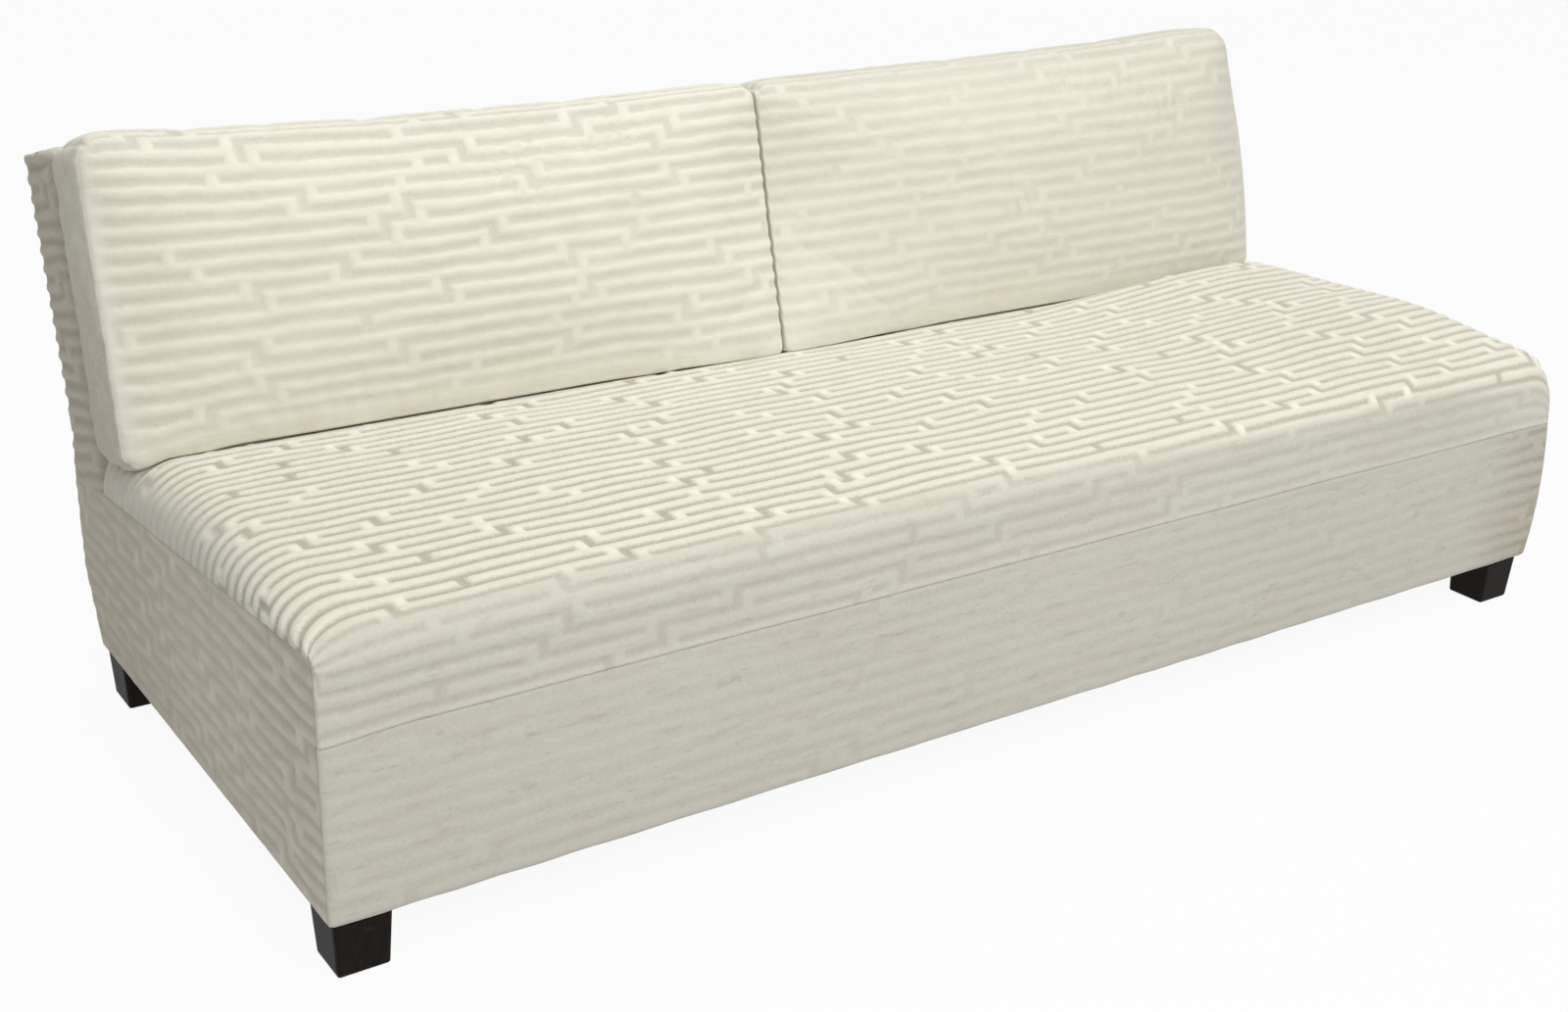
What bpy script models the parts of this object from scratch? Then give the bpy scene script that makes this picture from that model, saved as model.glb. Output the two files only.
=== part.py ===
"""Armless upholstered sofa: sprung seat, slim raked back and two loose back cushions.

Metres, +Z up. The sofa runs along X and faces -Y. Each y below is measured back from the front face, and
one empty carries the whole sofa, so that it stands centred over the origin.
"""

import math

import bmesh
import bpy
from mathutils import Matrix, Vector

# Overall sizes
SOFA_LENGTH = 2.13
LEG_HEIGHT = 0.075

# Seat: heights above the floor, and how far its edges round over
SEAT_HEIGHT = 0.422
SEAT_DEPTH = 0.657
SEAT_CROWN = 0.024
SEAT_END_ROUND = 0.075
SEAT_FRONT_ROUND = 0.045
SEAT_CORNER_ROUND = 0.012
SEAT_HEM = 0.004
FRONT_SEAM_HEIGHT = 0.313
SIDE_SEAM_FRONT = 0.413
SIDE_SEAM_REAR = 0.333

# Back: it kicks out from the base, rises straight to the knee and leans above it
BACK_RAKE = math.radians(14.5)
BACK_HEIGHT = 0.797
BACK_THICKNESS = 0.140
BACK_END_INSET = 0.008
BACK_EDGE_ROUND = 0.030
KNEE_HEIGHT = 0.370
KICK_HEIGHT = 0.190
KICK_DEPTH = 0.054
PAD_DROP = 0.050

# Loose back cushions
CUSHION_HEIGHT = 0.430
CUSHION_THICKNESS = 0.126
CUSHION_CROWN = 0.030
CUSHION_BOW = 0.012
CUSHION_DRAW_IN = 0.009
CUSHION_TOP_RISE = 0.008
CUSHION_END_INSET = 0.018
CUSHION_SPLIT = 0.004
CUSHION_HOLLOW = 0.006

# Cloth, padding and covers
COVER_T = 0.003
CUSHION_COVER_T = 0.004
PANEL_T = 0.005
PANEL_EDGE = 0.0015
OUTSIDE_T = 0.003
CLOTH_T = 0.002
SEAT_EASE = 0.002
DUST_COVER_T = 0.001

# Wooden frame
RAIL_T = 0.025
RAIL_TOP = 0.290
CENTRE_RAIL_HEIGHT = 0.160
CORNER_BLOCK = 0.075
CORNER_BLOCK_HEIGHT = 0.060
POST_W = 0.025
POST_DEPTH = 0.050
POST_FOOT = 0.030
POST_NECK = 0.010
LOWER_RAIL_T = 0.020
LOWER_RAIL_START = 0.020
LOWER_RAIL_HEIGHT = 0.060
TOP_RAIL_HEIGHT = 0.060
CLOTH_TURN = 0.010

# Legs and the bolts that hold them
LEG_TOP = 0.074
LEG_FOOT = 0.066
LEG_EDGE = 0.004
BOLT_D = 0.008
BOLT_IN_LEG = 0.035
BOLT_IN_FRAME = 0.040
BOLT_SIDES = 12

# Seat springs and their clips
SPRING_COUNT = 6
SPRING_SPACING = 0.320
SPRING_WIDTH = 0.050
SPRING_PITCH = 0.035
SPRING_TURN = 0.008
SPRING_ARCH = 0.006
WIRE_D = 0.004
CLIP_W = 0.030
CLIP_DEPTH = 0.016
CLIP_LIP = 0.011
CLIP_T = 0.0015

# Cushion zips
ZIP_LENGTH = 0.600
ZIP_WIDTH = 0.012
ZIP_T = 0.0015
ZIP_RECESS = 0.0012
SLIDER_LENGTH = 0.012
SLIDER_WIDTH = 0.008
SLIDER_T = 0.0024
SLIDER_MARGIN = 0.003
TAB_LENGTH = 0.016
TAB_WIDTH = 0.004

# Clearances between pieces that touch
GAP = 0.0003
SEAM_GAP = 0.0005
CORE_GAP = 0.0006
REAR_GAP = 0.0015
FOOT_GAP = 0.004

# Mesh steps
END_STEPS = 4
MIDDLE_STEPS = 8
TOP_STEPS = 6
REST_STEPS = 2
ROLL_STEPS = 4
EDGE_STEPS = 3
CUSHION_CELLS = (6, 2, 4)
SEAM_CREASE = 0.75

SIN = math.sin(BACK_RAKE)
COS = math.cos(BACK_RAKE)
HALF = SOFA_LENGTH / 2
FRAME_HALF = HALF - PANEL_T - GAP
FRAME_FRONT = PANEL_T + GAP
BASE_BOTTOM = LEG_HEIGHT + GAP
FRAME_BOTTOM = BASE_BOTTOM + DUST_COVER_T + GAP
CUSHION_REAR = BACK_THICKNESS + GAP
CUSHION_FRONT = CUSHION_REAR + CUSHION_THICKNESS
CUSHION_FOOT = SEAT_HEIGHT + GAP
CROWN_END = SEAT_DEPTH - CUSHION_BOW - FOOT_GAP


def slope_rise(height, forward):
    """Distance up the leaning back, above the knee, of a point at this height."""
    return (height - KNEE_HEIGHT - forward * SIN) / COS


KNEE_Y = SEAT_DEPTH + CUSHION_FRONT * COS - slope_rise(SEAT_HEIGHT, CUSHION_FRONT) * SIN
BASE_DEPTH = KNEE_Y - KICK_DEPTH
BACK_RISE = slope_rise(BACK_HEIGHT, BACK_THICKNESS)
OVERALL_DEPTH = KNEE_Y + BACK_RISE * SIN
BACK_HALF = HALF - BACK_END_INSET
BACK_FRAME_HALF = BACK_HALF - COVER_T - GAP

# Layers of the back, measured forward from its outside face
POST_REAR = (OUTSIDE_T + GAP) * COS
POST_FRONT = POST_REAR + POST_DEPTH
BACK_RAIL_FRONT = POST_FRONT + GAP + LOWER_RAIL_T
BACK_CLOTH_FRONT = BACK_RAIL_FRONT + GAP + CLOTH_T
TOP_RAIL_TOP = BACK_RISE - COVER_T - GAP
TOP_RAIL_FOOT = TOP_RAIL_TOP - TOP_RAIL_HEIGHT


def slope_point(forward, rise):
    """(y, z) of a point this far forward of the outside back and this far up its slope from the knee."""
    return (KNEE_Y + rise * SIN - forward * COS, KNEE_HEIGHT + rise * COS + forward * SIN)


def back_front_y(height):
    """Depth of the back's front face at a height."""
    return slope_point(BACK_THICKNESS, slope_rise(height, BACK_THICKNESS))[0]


def outside_y(height):
    """Depth of the outside back at a height up to the knee."""
    share = min(1.0, (height - BASE_BOTTOM) / (KICK_HEIGHT - BASE_BOTTOM))
    return BASE_DEPTH + (KNEE_Y - BASE_DEPTH) * share


def inner_y(height):
    """Depth of the inner face of the outside back panel, less the clearance."""
    return outside_y(height) - OUTSIDE_T - GAP


def side_seam(y):
    """Height of the seam between the seat cover and an end panel."""
    return SIDE_SEAM_FRONT + (SIDE_SEAM_REAR - SIDE_SEAM_FRONT) * y / KNEE_Y


def seat_top(y):
    """Height of the middle of the seat: crowned in front of the cushions, level under them."""
    share = min(1.0, max(0.0, y / CROWN_END))
    return SEAT_HEIGHT + SEAT_CROWN * math.sin(math.pi * share)


BACK_RAIL_REAR = inner_y(FRAME_BOTTOM)
BACK_RAIL_Y = BACK_RAIL_REAR - RAIL_T
FRONT_RAIL_Y = FRAME_FRONT + RAIL_T
POST_FOOT_REAR = BACK_RAIL_Y - GAP
LEG_INSET = PANEL_T + RAIL_T + 2 * GAP + POST_W / 2
LEG_X = HALF - LEG_INSET
LEG_Y = {"front": LEG_INSET, "back": POST_FOOT_REAR - POST_FOOT / 2}
SIDES = {"left": -1, "right": 1}
CLIP_HEIGHT = 2 * CLIP_T + WIRE_D + 2 * GAP
CLIP_BASE = RAIL_TOP + GAP
SPRING_END_Z = CLIP_BASE + CLIP_T + GAP + WIRE_D / 2
SPRING_INSET = CLIP_T + GAP + WIRE_D / 2
SPRING_CLOTH_Z = max(SPRING_END_Z + SPRING_ARCH + WIRE_D / 2, CLIP_BASE + CLIP_HEIGHT) + GAP
DECK = SPRING_CLOTH_Z + CLOTH_T + GAP
DECK_REAR = back_front_y(DECK) - REAR_GAP

# Turns a flat outline drawn in (y, z) upright, with its thickness along X
UPRIGHT = Matrix(((0, 0, 1), (1, 0, 0), (0, 1, 0))).to_euler()


def clear_scene():
    for obj in list(bpy.data.objects):
        bpy.data.objects.remove(obj, do_unlink=True)


def new_collection(name):
    made = bpy.data.collections.new(name)
    bpy.context.scene.collection.children.link(made)
    return made


def new_material(name, colour, roughness, metallic=0.0):
    made = bpy.data.materials.new(name)
    made.use_nodes = True
    shader = made.node_tree.nodes["Principled BSDF"]
    shader.inputs["Base Color"].default_value = (*colour, 1.0)
    shader.inputs["Roughness"].default_value = roughness
    shader.inputs["Metallic"].default_value = metallic
    return made


clear_scene()
PARTS = new_collection("armless_sofa")
CUTTERS = new_collection("cutters")
VELVET = new_material("ivory_cut_velvet", (0.74, 0.70, 0.58), 0.85)
DARK_WOOD = new_material("espresso_leg", (0.018, 0.014, 0.012), 0.4)
FRAME_WOOD = new_material("frame_wood", (0.55, 0.40, 0.24), 0.7)
FOAM = new_material("foam", (0.82, 0.76, 0.55), 0.95)
FIBRE = new_material("cushion_fill", (0.88, 0.88, 0.85), 0.95)
LINING = new_material("lining_cloth", (0.50, 0.44, 0.34), 0.95)
BLACK_CLOTH = new_material("dust_cloth", (0.03, 0.03, 0.03), 0.95)
SPRING_STEEL = new_material("spring_steel", (0.30, 0.30, 0.31), 0.4, 1.0)
ZINC = new_material("zinc_steel", (0.62, 0.62, 0.60), 0.35, 1.0)
ZIP_TAPE = new_material("zip_tape", (0.66, 0.62, 0.50), 0.7)


def new_empty(name, at, parent=None, turn=(0, 0, 0)):
    made = bpy.data.objects.new(name, None)
    PARTS.objects.link(made)
    made.parent = parent
    made.location = at
    made.rotation_euler = turn
    return made


SOFA = new_empty("sofa_origin", (0, -OVERALL_DEPTH / 2, 0))
BACK = new_empty("back_slope", (0, KNEE_Y, KNEE_HEIGHT), SOFA, (-BACK_RAKE, 0, 0))


def add_object(name, data, material, parent=SOFA, at=(0, 0, 0), turn=(0, 0, 0)):
    made = bpy.data.objects.new(name, data)
    data.materials.append(material)
    PARTS.objects.link(made)
    made.parent = parent
    made.location = at
    made.rotation_euler = turn
    return made


def mesh_from(name, bm):
    mesh = bpy.data.meshes.new(name)
    bm.to_mesh(mesh)
    bm.free()
    return mesh


def face_outwards(bm):
    bm.normal_update()
    bmesh.ops.recalc_face_normals(bm, faces=bm.faces)
    bm.normal_update()


def box(name, low, high, material, parent=SOFA):
    """A plain box between two corners."""
    size = Vector(high) - Vector(low)
    middle = (Vector(high) + Vector(low)) / 2
    bm = bmesh.new()
    bmesh.ops.create_cube(bm, size=1.0, matrix=Matrix.Translation(middle) @ Matrix.Diagonal((*size, 1)))
    return add_object(name, mesh_from(name, bm), material, parent)


def slope_box(name, half, forward, rise, material):
    """A box that leans with the back, centred along the length."""
    low = (-half, -forward[1], rise[0])
    high = (half, -forward[0], rise[1])
    return box(name, low, high, material, BACK)


def outline_curve(name, outline, thickness):
    """A flat outline filled and given a thickness."""
    curve = bpy.data.curves.new(name, "CURVE")
    curve.dimensions = "2D"
    curve.fill_mode = "BOTH"
    curve.extrude = thickness / 2
    spline = curve.splines.new("POLY")
    spline.points.add(len(outline) - 1)
    for point, (across, up) in zip(spline.points, outline):
        point.co = (across, up, 0, 1)
    spline.use_cyclic_u = True
    return curve


def plate(name, outline, low_x, high_x, material):
    """A (y, z) outline cut from a board that lies between two places along the length."""
    curve = outline_curve(name, outline, high_x - low_x)
    return add_object(name, curve, material, SOFA, ((low_x + high_x) / 2, 0, 0), UPRIGHT)


def plate_as_mesh(name, outline, low_x, high_x, material):
    """The same board as a mesh, so that it can be bored."""
    board = plate(name + "_outline", outline, low_x, high_x, material)
    bpy.context.view_layer.update()
    mesh = bpy.data.meshes.new_from_object(board.evaluated_get(bpy.context.evaluated_depsgraph_get()))
    bm = bmesh.new()
    bm.from_mesh(mesh)
    bmesh.ops.remove_doubles(bm, verts=bm.verts, dist=1e-5)
    bm.to_mesh(mesh)
    bm.free()
    mesh.materials.clear()
    made = add_object(name, mesh, material, SOFA, tuple(board.location), tuple(board.rotation_euler))
    bpy.data.objects.remove(board, do_unlink=True)
    return made


def soften(obj, width, steps=1):
    bevel = obj.modifiers.new("soft_edges", "BEVEL")
    bevel.width = width
    bevel.segments = steps
    bevel.limit_method = "ANGLE"


def add_cutter(name, mesh, at=(0, 0, 0)):
    cutter = bpy.data.objects.new(name, mesh)
    CUTTERS.objects.link(cutter)
    cutter.parent = SOFA
    cutter.location = at
    cutter.hide_render = True
    cutter.display_type = "WIRE"
    return cutter


def cut(obj, cutter):
    boolean = obj.modifiers.new("cut_" + cutter.name, "BOOLEAN")
    boolean.object = cutter
    boolean.operation = "DIFFERENCE"
    boolean.solver = "EXACT"


def rod_mesh(name, radius, low, high):
    bm = bmesh.new()
    bmesh.ops.create_cone(
        bm,
        cap_ends=True,
        segments=BOLT_SIDES,
        radius1=radius,
        radius2=radius,
        depth=high - low,
        matrix=Matrix.Translation((0, 0, (low + high) / 2)),
    )
    return mesh_from(name, bm)


def make_bolts():
    """A hanger bolt at each leg, and the cutter that bores its hole through leg, dust cover and frame."""
    bores = {}
    low = LEG_HEIGHT - BOLT_IN_LEG
    high = FRAME_BOTTOM + BOLT_IN_FRAME
    for end, y in LEG_Y.items():
        for side, sign in SIDES.items():
            at = (sign * LEG_X, y, 0)
            name = f"{end}_{side}_leg_bolt"
            add_object(name, rod_mesh(name, BOLT_D / 2, low, high), ZINC, SOFA, at)
            hole = rod_mesh(name + "_hole", BOLT_D / 2 + GAP, low - GAP, high + GAP)
            bores[end, side] = add_cutter(name + "_hole", hole, at)
    return bores


def make_legs(bores):
    for (end, side), hole in bores.items():
        name = f"{end}_{side}_leg"
        bm = bmesh.new()
        bmesh.ops.create_cube(bm, size=1.0)
        for vert in bm.verts:
            width = LEG_TOP if vert.co.z > 0 else LEG_FOOT
            height = LEG_HEIGHT if vert.co.z > 0 else 0.0
            vert.co = (vert.co.x * width, vert.co.y * width, height)
        leg = add_object(name, mesh_from(name, bm), DARK_WOOD, SOFA, tuple(hole.location))
        soften(leg, LEG_EDGE, 2)
        cut(leg, hole)


def make_base_frame(bores):
    """Rails, corner blocks and centre rail of the base."""
    rail_low = FRAME_BOTTOM
    long_rails = {"front_rail": (FRAME_FRONT, FRONT_RAIL_Y), "back_rail": (BACK_RAIL_Y, BACK_RAIL_REAR)}
    for name, (front, rear) in long_rails.items():
        box(name, (-FRAME_HALF, front, rail_low), (FRAME_HALF, rear, RAIL_TOP), FRAME_WOOD)
    inner_front = FRONT_RAIL_Y + GAP
    inner_rear = BACK_RAIL_Y - GAP
    for side, sign in SIDES.items():
        reach = sorted((sign * FRAME_HALF, sign * (FRAME_HALF - RAIL_T)))
        low = (reach[0], inner_front, rail_low)
        box(side + "_end_rail", low, (reach[1], inner_rear, RAIL_TOP), FRAME_WOOD)
        outer = FRAME_HALF - RAIL_T - GAP
        reach = sorted((sign * outer, sign * (outer - CORNER_BLOCK)))
        low = (reach[0], inner_front, rail_low)
        high = (reach[1], inner_front + CORNER_BLOCK, rail_low + CORNER_BLOCK_HEIGHT)
        cut(box(side + "_corner_block", low, high, FRAME_WOOD), bores["front", side])
    # The centre rail stops short of the centre post's foot, which stands in front of the back rail.
    centre_rear = POST_FOOT_REAR - POST_FOOT - GAP
    low = (-RAIL_T / 2, inner_front, rail_low)
    box("centre_rail", low, (RAIL_T / 2, centre_rear, rail_low + CENTRE_RAIL_HEIGHT), FRAME_WOOD)


def make_back_frame(bores):
    """Raked posts with feet in front of the back rail, a top rail on them and a lower rail across them."""
    shelf = RAIL_TOP + GAP
    post_top = TOP_RAIL_FOOT - GAP
    outline = [
        (POST_FOOT_REAR - POST_FOOT, FRAME_BOTTOM),
        (POST_FOOT_REAR, FRAME_BOTTOM),
        (POST_FOOT_REAR, shelf),
        (inner_y(shelf), shelf),
        (inner_y(KNEE_HEIGHT), KNEE_HEIGHT),
        slope_point(POST_REAR, post_top),
        slope_point(POST_FRONT, post_top),
        slope_point(POST_FRONT, LOWER_RAIL_START - GAP),
        (POST_FOOT_REAR - POST_FOOT, shelf + POST_NECK),
    ]
    plate("centre_back_post", outline, -POST_W / 2, POST_W / 2, FRAME_WOOD)
    for side, sign in SIDES.items():
        middle = sign * LEG_X
        ends = (middle - POST_W / 2, middle + POST_W / 2)
        post = plate_as_mesh(side + "_back_post", outline, *ends, FRAME_WOOD)
        cut(post, bores["back", side])
    across = (POST_FRONT + GAP, BACK_RAIL_FRONT)
    up = (LOWER_RAIL_START, LOWER_RAIL_START + LOWER_RAIL_HEIGHT)
    slope_box("back_lower_rail", BACK_FRAME_HALF, across, up, FRAME_WOOD)
    across = (POST_REAR, BACK_RAIL_FRONT)
    slope_box("back_top_rail", BACK_FRAME_HALF, across, (TOP_RAIL_FOOT, TOP_RAIL_TOP), FRAME_WOOD)


def spring_points(front, rear):
    """Zig-zag of one spring: bars along X, joined by a turn at alternate ends, arched up in the middle."""
    bars = 2 * round((rear - front) / SPRING_PITCH / 2)
    pitch = (rear - front) / bars
    points = []
    for bar in range(bars + 1):
        way = 1 if bar % 2 == 0 else -1
        y = front + bar * pitch
        z = SPRING_END_Z + SPRING_ARCH * math.sin(math.pi * bar / bars)
        points.append((-way * SPRING_WIDTH / 2, y, z))
        points.append((way * SPRING_WIDTH / 2, y, z))
        if bar < bars:
            next_z = SPRING_END_Z + SPRING_ARCH * math.sin(math.pi * (bar + 1) / bars)
            points.append((way * (SPRING_WIDTH / 2 + SPRING_TURN), y + pitch / 2, (z + next_z) / 2))
    return points


def clip_outline(tip, way):
    """A folded clip on a rail: base plate, bend at the tip, and a lip over the wire."""
    top = CLIP_BASE + CLIP_HEIGHT
    profile = [
        (0, CLIP_BASE),
        (CLIP_DEPTH, CLIP_BASE),
        (CLIP_DEPTH, CLIP_BASE + CLIP_T),
        (CLIP_T, CLIP_BASE + CLIP_T),
        (CLIP_T, top - CLIP_T),
        (CLIP_LIP, top - CLIP_T),
        (CLIP_LIP, top),
        (0, top),
    ]
    return [(tip + way * along, up) for along, up in profile]


def make_springs():
    """Sinuous springs from front rail to back rail, each in a clip at either end."""
    front_tip = FRAME_FRONT + (RAIL_T - CLIP_DEPTH) / 2
    rear_tip = BACK_RAIL_REAR - (RAIL_T - CLIP_DEPTH) / 2
    points = spring_points(front_tip + SPRING_INSET, rear_tip - SPRING_INSET)
    for number in range(1, SPRING_COUNT + 1):
        x = (number - (SPRING_COUNT + 1) / 2) * SPRING_SPACING
        curve = bpy.data.curves.new(f"seat_spring_{number}", "CURVE")
        curve.dimensions = "3D"
        curve.bevel_depth = WIRE_D / 2
        curve.bevel_resolution = 1
        curve.use_fill_caps = True
        spline = curve.splines.new("POLY")
        spline.points.add(len(points) - 1)
        for point, place in zip(spline.points, points):
            point.co = (*place, 1)
        add_object(f"seat_spring_{number}", curve, SPRING_STEEL, SOFA, (x, 0, 0))
        reach = (x - CLIP_W / 2, x + CLIP_W / 2)
        plate(f"front_spring_clip_{number}", clip_outline(front_tip, 1), *reach, ZINC)
        plate(f"back_spring_clip_{number}", clip_outline(rear_tip, -1), *reach, ZINC)


def seat_columns():
    """Lines across the seat, left to right: which end, share of the end round, share of the rise, hem."""
    end = [(0.0, 0.0, 0.0), (0.0, 0.0, 1.0)]
    for step in range(1, END_STEPS + 1):
        angle = math.pi / 2 * step / END_STEPS
        end.append((1 - math.cos(angle), math.sin(angle), 1.0))
    left = [(-1.0, *values) for values in end]
    middle = [(-1 + 2 * step / MIDDLE_STEPS, 1.0, 1.0, 1.0) for step in range(1, MIDDLE_STEPS)]
    right = [(1.0, *values) for values in reversed(end)]
    return left + middle + right


def seat_rows():
    """Lines along the seat from the front seam back: shares of band, roll, crown and level rest."""
    rows = [(1.0, 1.0, 0.0, 0.0)]
    rows += [(0.0, 1 - step / ROLL_STEPS, 0.0, 0.0) for step in range(ROLL_STEPS)]
    rows += [(0.0, 0.0, step / TOP_STEPS, 0.0) for step in range(TOP_STEPS)]
    rows += [(0.0, 0.0, 1.0, step / REST_STEPS) for step in range(REST_STEPS + 1)]
    return rows


def seat_point(column, row, inset, drop):
    """A point of the seat's upper surface, or of one that lies inset from its sides and lower by drop."""
    across, end_share, rise, hem = column
    band, roll, along, rest = row
    angle = roll * math.pi / 2
    hem_in = SEAT_HEM * hem * math.sin(angle)
    hem_up = SEAT_HEM * hem * math.cos(angle)
    x = across * (HALF - inset - hem_in - SEAT_END_ROUND * end_share)
    radius = SEAT_CORNER_ROUND + (SEAT_FRONT_ROUND - SEAT_CORNER_ROUND) * rise
    roll_start = inset + radius
    rear_seam = side_seam(back_front_y(SIDE_SEAM_REAR))
    rear_height = rear_seam + (SEAT_HEIGHT - rear_seam) * rise
    rear = back_front_y(rear_height - COVER_T) - REAR_GAP
    y = roll_start + (CROWN_END - roll_start) * along + (rear - CROWN_END) * rest
    seam = side_seam(y) + hem_up
    z = seam + (seat_top(y) - seam) * rise - drop
    y -= radius * math.sin(angle)
    z -= radius * (1 - math.cos(angle))
    z += (FRONT_SEAM_HEIGHT - z) * band
    return (x, y, z)


def seat_sheet(inset, drop):
    """Grid bent to the seat's upper surface."""
    columns = seat_columns()
    rows = seat_rows()
    bm = bmesh.new()
    bmesh.ops.create_grid(bm, x_segments=len(columns) - 1, y_segments=len(rows) - 1, size=1.0)
    for vert in bm.verts:
        column = columns[round((vert.co.x + 1) / 2 * (len(columns) - 1))]
        row = rows[round((vert.co.y + 1) / 2 * (len(rows) - 1))]
        vert.co = seat_point(column, row, inset, drop)
    return bm


def thicken(obj, thickness, even=True):
    """Give an open surface its thickness, inwards."""
    solidify = obj.modifiers.new("thickness", "SOLIDIFY")
    solidify.thickness = thickness
    solidify.offset = -1
    solidify.use_even_offset = even


def make_seat():
    """Spring cloth, foam block and top cover of the seat."""
    low = (-FRAME_HALF, FRAME_FRONT, SPRING_CLOTH_Z)
    box("spring_cloth", low, (FRAME_HALF, DECK_REAR, SPRING_CLOTH_Z + CLOTH_T), LINING)

    bm = seat_sheet(FRAME_FRONT, COVER_T + SEAT_EASE)
    rim = [edge for edge in bm.edges if edge.is_boundary]
    walls = bmesh.ops.extrude_edge_only(bm, edges=rim)["geom"]
    for vert in (item for item in walls if isinstance(item, bmesh.types.BMVert)):
        vert.co.y = min(vert.co.y, DECK_REAR)
        vert.co.z = DECK
    bmesh.ops.contextual_create(bm, geom=[edge for edge in bm.edges if edge.is_boundary])
    face_outwards(bm)
    add_object("seat_foam", mesh_from("seat_foam", bm), FOAM)

    cover = add_object("seat_cover", mesh_from("seat_cover", seat_sheet(0.0, 0.0)), VELVET)
    thicken(cover, COVER_T)


def make_panels(bores):
    """Lower front panel, end panels, outside back and the dust cover under the base."""
    high = (HALF, PANEL_T, FRONT_SEAM_HEIGHT - SEAM_GAP)
    front = box("front_panel", (-HALF, 0, BASE_BOTTOM), high, VELVET)
    soften(front, PANEL_EDGE)
    end_outline = [
        (FRAME_FRONT, BASE_BOTTOM),
        (inner_y(BASE_BOTTOM), BASE_BOTTOM),
        (inner_y(KICK_HEIGHT), KICK_HEIGHT),
        (inner_y(KNEE_HEIGHT), side_seam(KNEE_Y) - SEAM_GAP),
        (SEAT_CORNER_ROUND, side_seam(SEAT_CORNER_ROUND) - SEAM_GAP),
        (FRAME_FRONT, side_seam(FRAME_FRONT) - SEAT_CORNER_ROUND),
    ]
    for side, sign in SIDES.items():
        plate(side + "_end_panel", end_outline, *sorted((sign * HALF, sign * (HALF - PANEL_T))), VELVET)
    top = slope_point(0, BACK_RISE)
    outer = [(BASE_DEPTH, BASE_BOTTOM), (KNEE_Y, KICK_HEIGHT), (KNEE_Y, KNEE_HEIGHT), top]
    inner = [(y - OUTSIDE_T, z) for y, z in reversed(outer)]
    plate("outside_back_panel", outer + inner, -HALF, HALF, VELVET)
    low = (-FRAME_HALF, FRAME_FRONT, BASE_BOTTOM)
    high = (FRAME_HALF, inner_y(BASE_BOTTOM), BASE_BOTTOM + DUST_COVER_T)
    dust = box("dust_cover", low, high, BLACK_CLOTH)
    for hole in bores.values():
        cut(dust, hole)


def round_edges(bm, edges):
    bmesh.ops.bevel(
        bm,
        geom=edges,
        offset=BACK_EDGE_ROUND,
        segments=EDGE_STEPS,
        profile=0.5,
        affect="EDGES",
    )


def make_back_padding():
    """Support cloth across the back rails, and the pad on it."""
    across = (BACK_RAIL_FRONT + GAP, BACK_CLOTH_FRONT)
    up = (LOWER_RAIL_START, TOP_RAIL_TOP - CLOTH_TURN)
    slope_box("back_support_cloth", BACK_FRAME_HALF, across, up, LINING)
    across = (BACK_CLOTH_FRONT + GAP, BACK_THICKNESS - COVER_T - GAP)
    pad = slope_box("back_pad", BACK_FRAME_HALF, across, (-PAD_DROP, TOP_RAIL_TOP), FOAM)
    bm = bmesh.new()
    bm.from_mesh(pad.data)
    middle = -(across[0] + across[1]) / 2
    front = [edge for edge in bm.edges if all(vert.co.y < middle for vert in edge.verts)]
    round_over = [edge for edge in front if max(vert.co.z for vert in edge.verts) > 0]
    round_edges(bm, round_over)
    bm.to_mesh(pad.data)
    bm.free()


def make_inside_back_cover():
    """Cover that wraps the front, top and ends of the back, open behind and below."""
    front_foot = side_seam(back_front_y(SIDE_SEAM_REAR)) + GAP
    outline = [
        (back_front_y(front_foot), front_foot),
        slope_point(BACK_THICKNESS, BACK_RISE),
        slope_point(POST_REAR, BACK_RISE),
        (inner_y(KNEE_HEIGHT), KNEE_HEIGHT),
        (inner_y(KNEE_HEIGHT), side_seam(inner_y(KNEE_HEIGHT)) + GAP),
    ]
    bm = bmesh.new()
    ring = [bm.verts.new((-BACK_HALF, y, z)) for y, z in outline]
    bm.faces.new(ring)
    made = bmesh.ops.extrude_face_region(bm, geom=list(bm.faces))["geom"]
    for vert in (item for item in made if isinstance(item, bmesh.types.BMVert)):
        vert.co.x = BACK_HALF
    face_outwards(bm)

    def at_corner(vert, number):
        return (Vector(outline[number]) - vert.co.yz).length < GAP

    def runs(edge, first, second):
        one, other = edge.verts
        ahead = at_corner(one, first) and at_corner(other, second)
        return ahead or (at_corner(one, second) and at_corner(other, first))

    rounded = [edge for edge in bm.edges if runs(edge, 0, 1) or runs(edge, 1, 1)]
    round_edges(bm, rounded)
    face_outwards(bm)
    leaning = Vector((0, COS, -SIN))
    behind = [face for face in bm.faces if max(face.normal.y, face.normal.dot(leaning)) > 0.9]
    below = [face for face in bm.faces if face.normal.z < -0.9]
    bmesh.ops.delete(bm, geom=behind + below, context="FACES")
    cover = add_object("inside_back_cover", mesh_from("inside_back_cover", bm), VELVET)
    thicken(cover, COVER_T)


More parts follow.
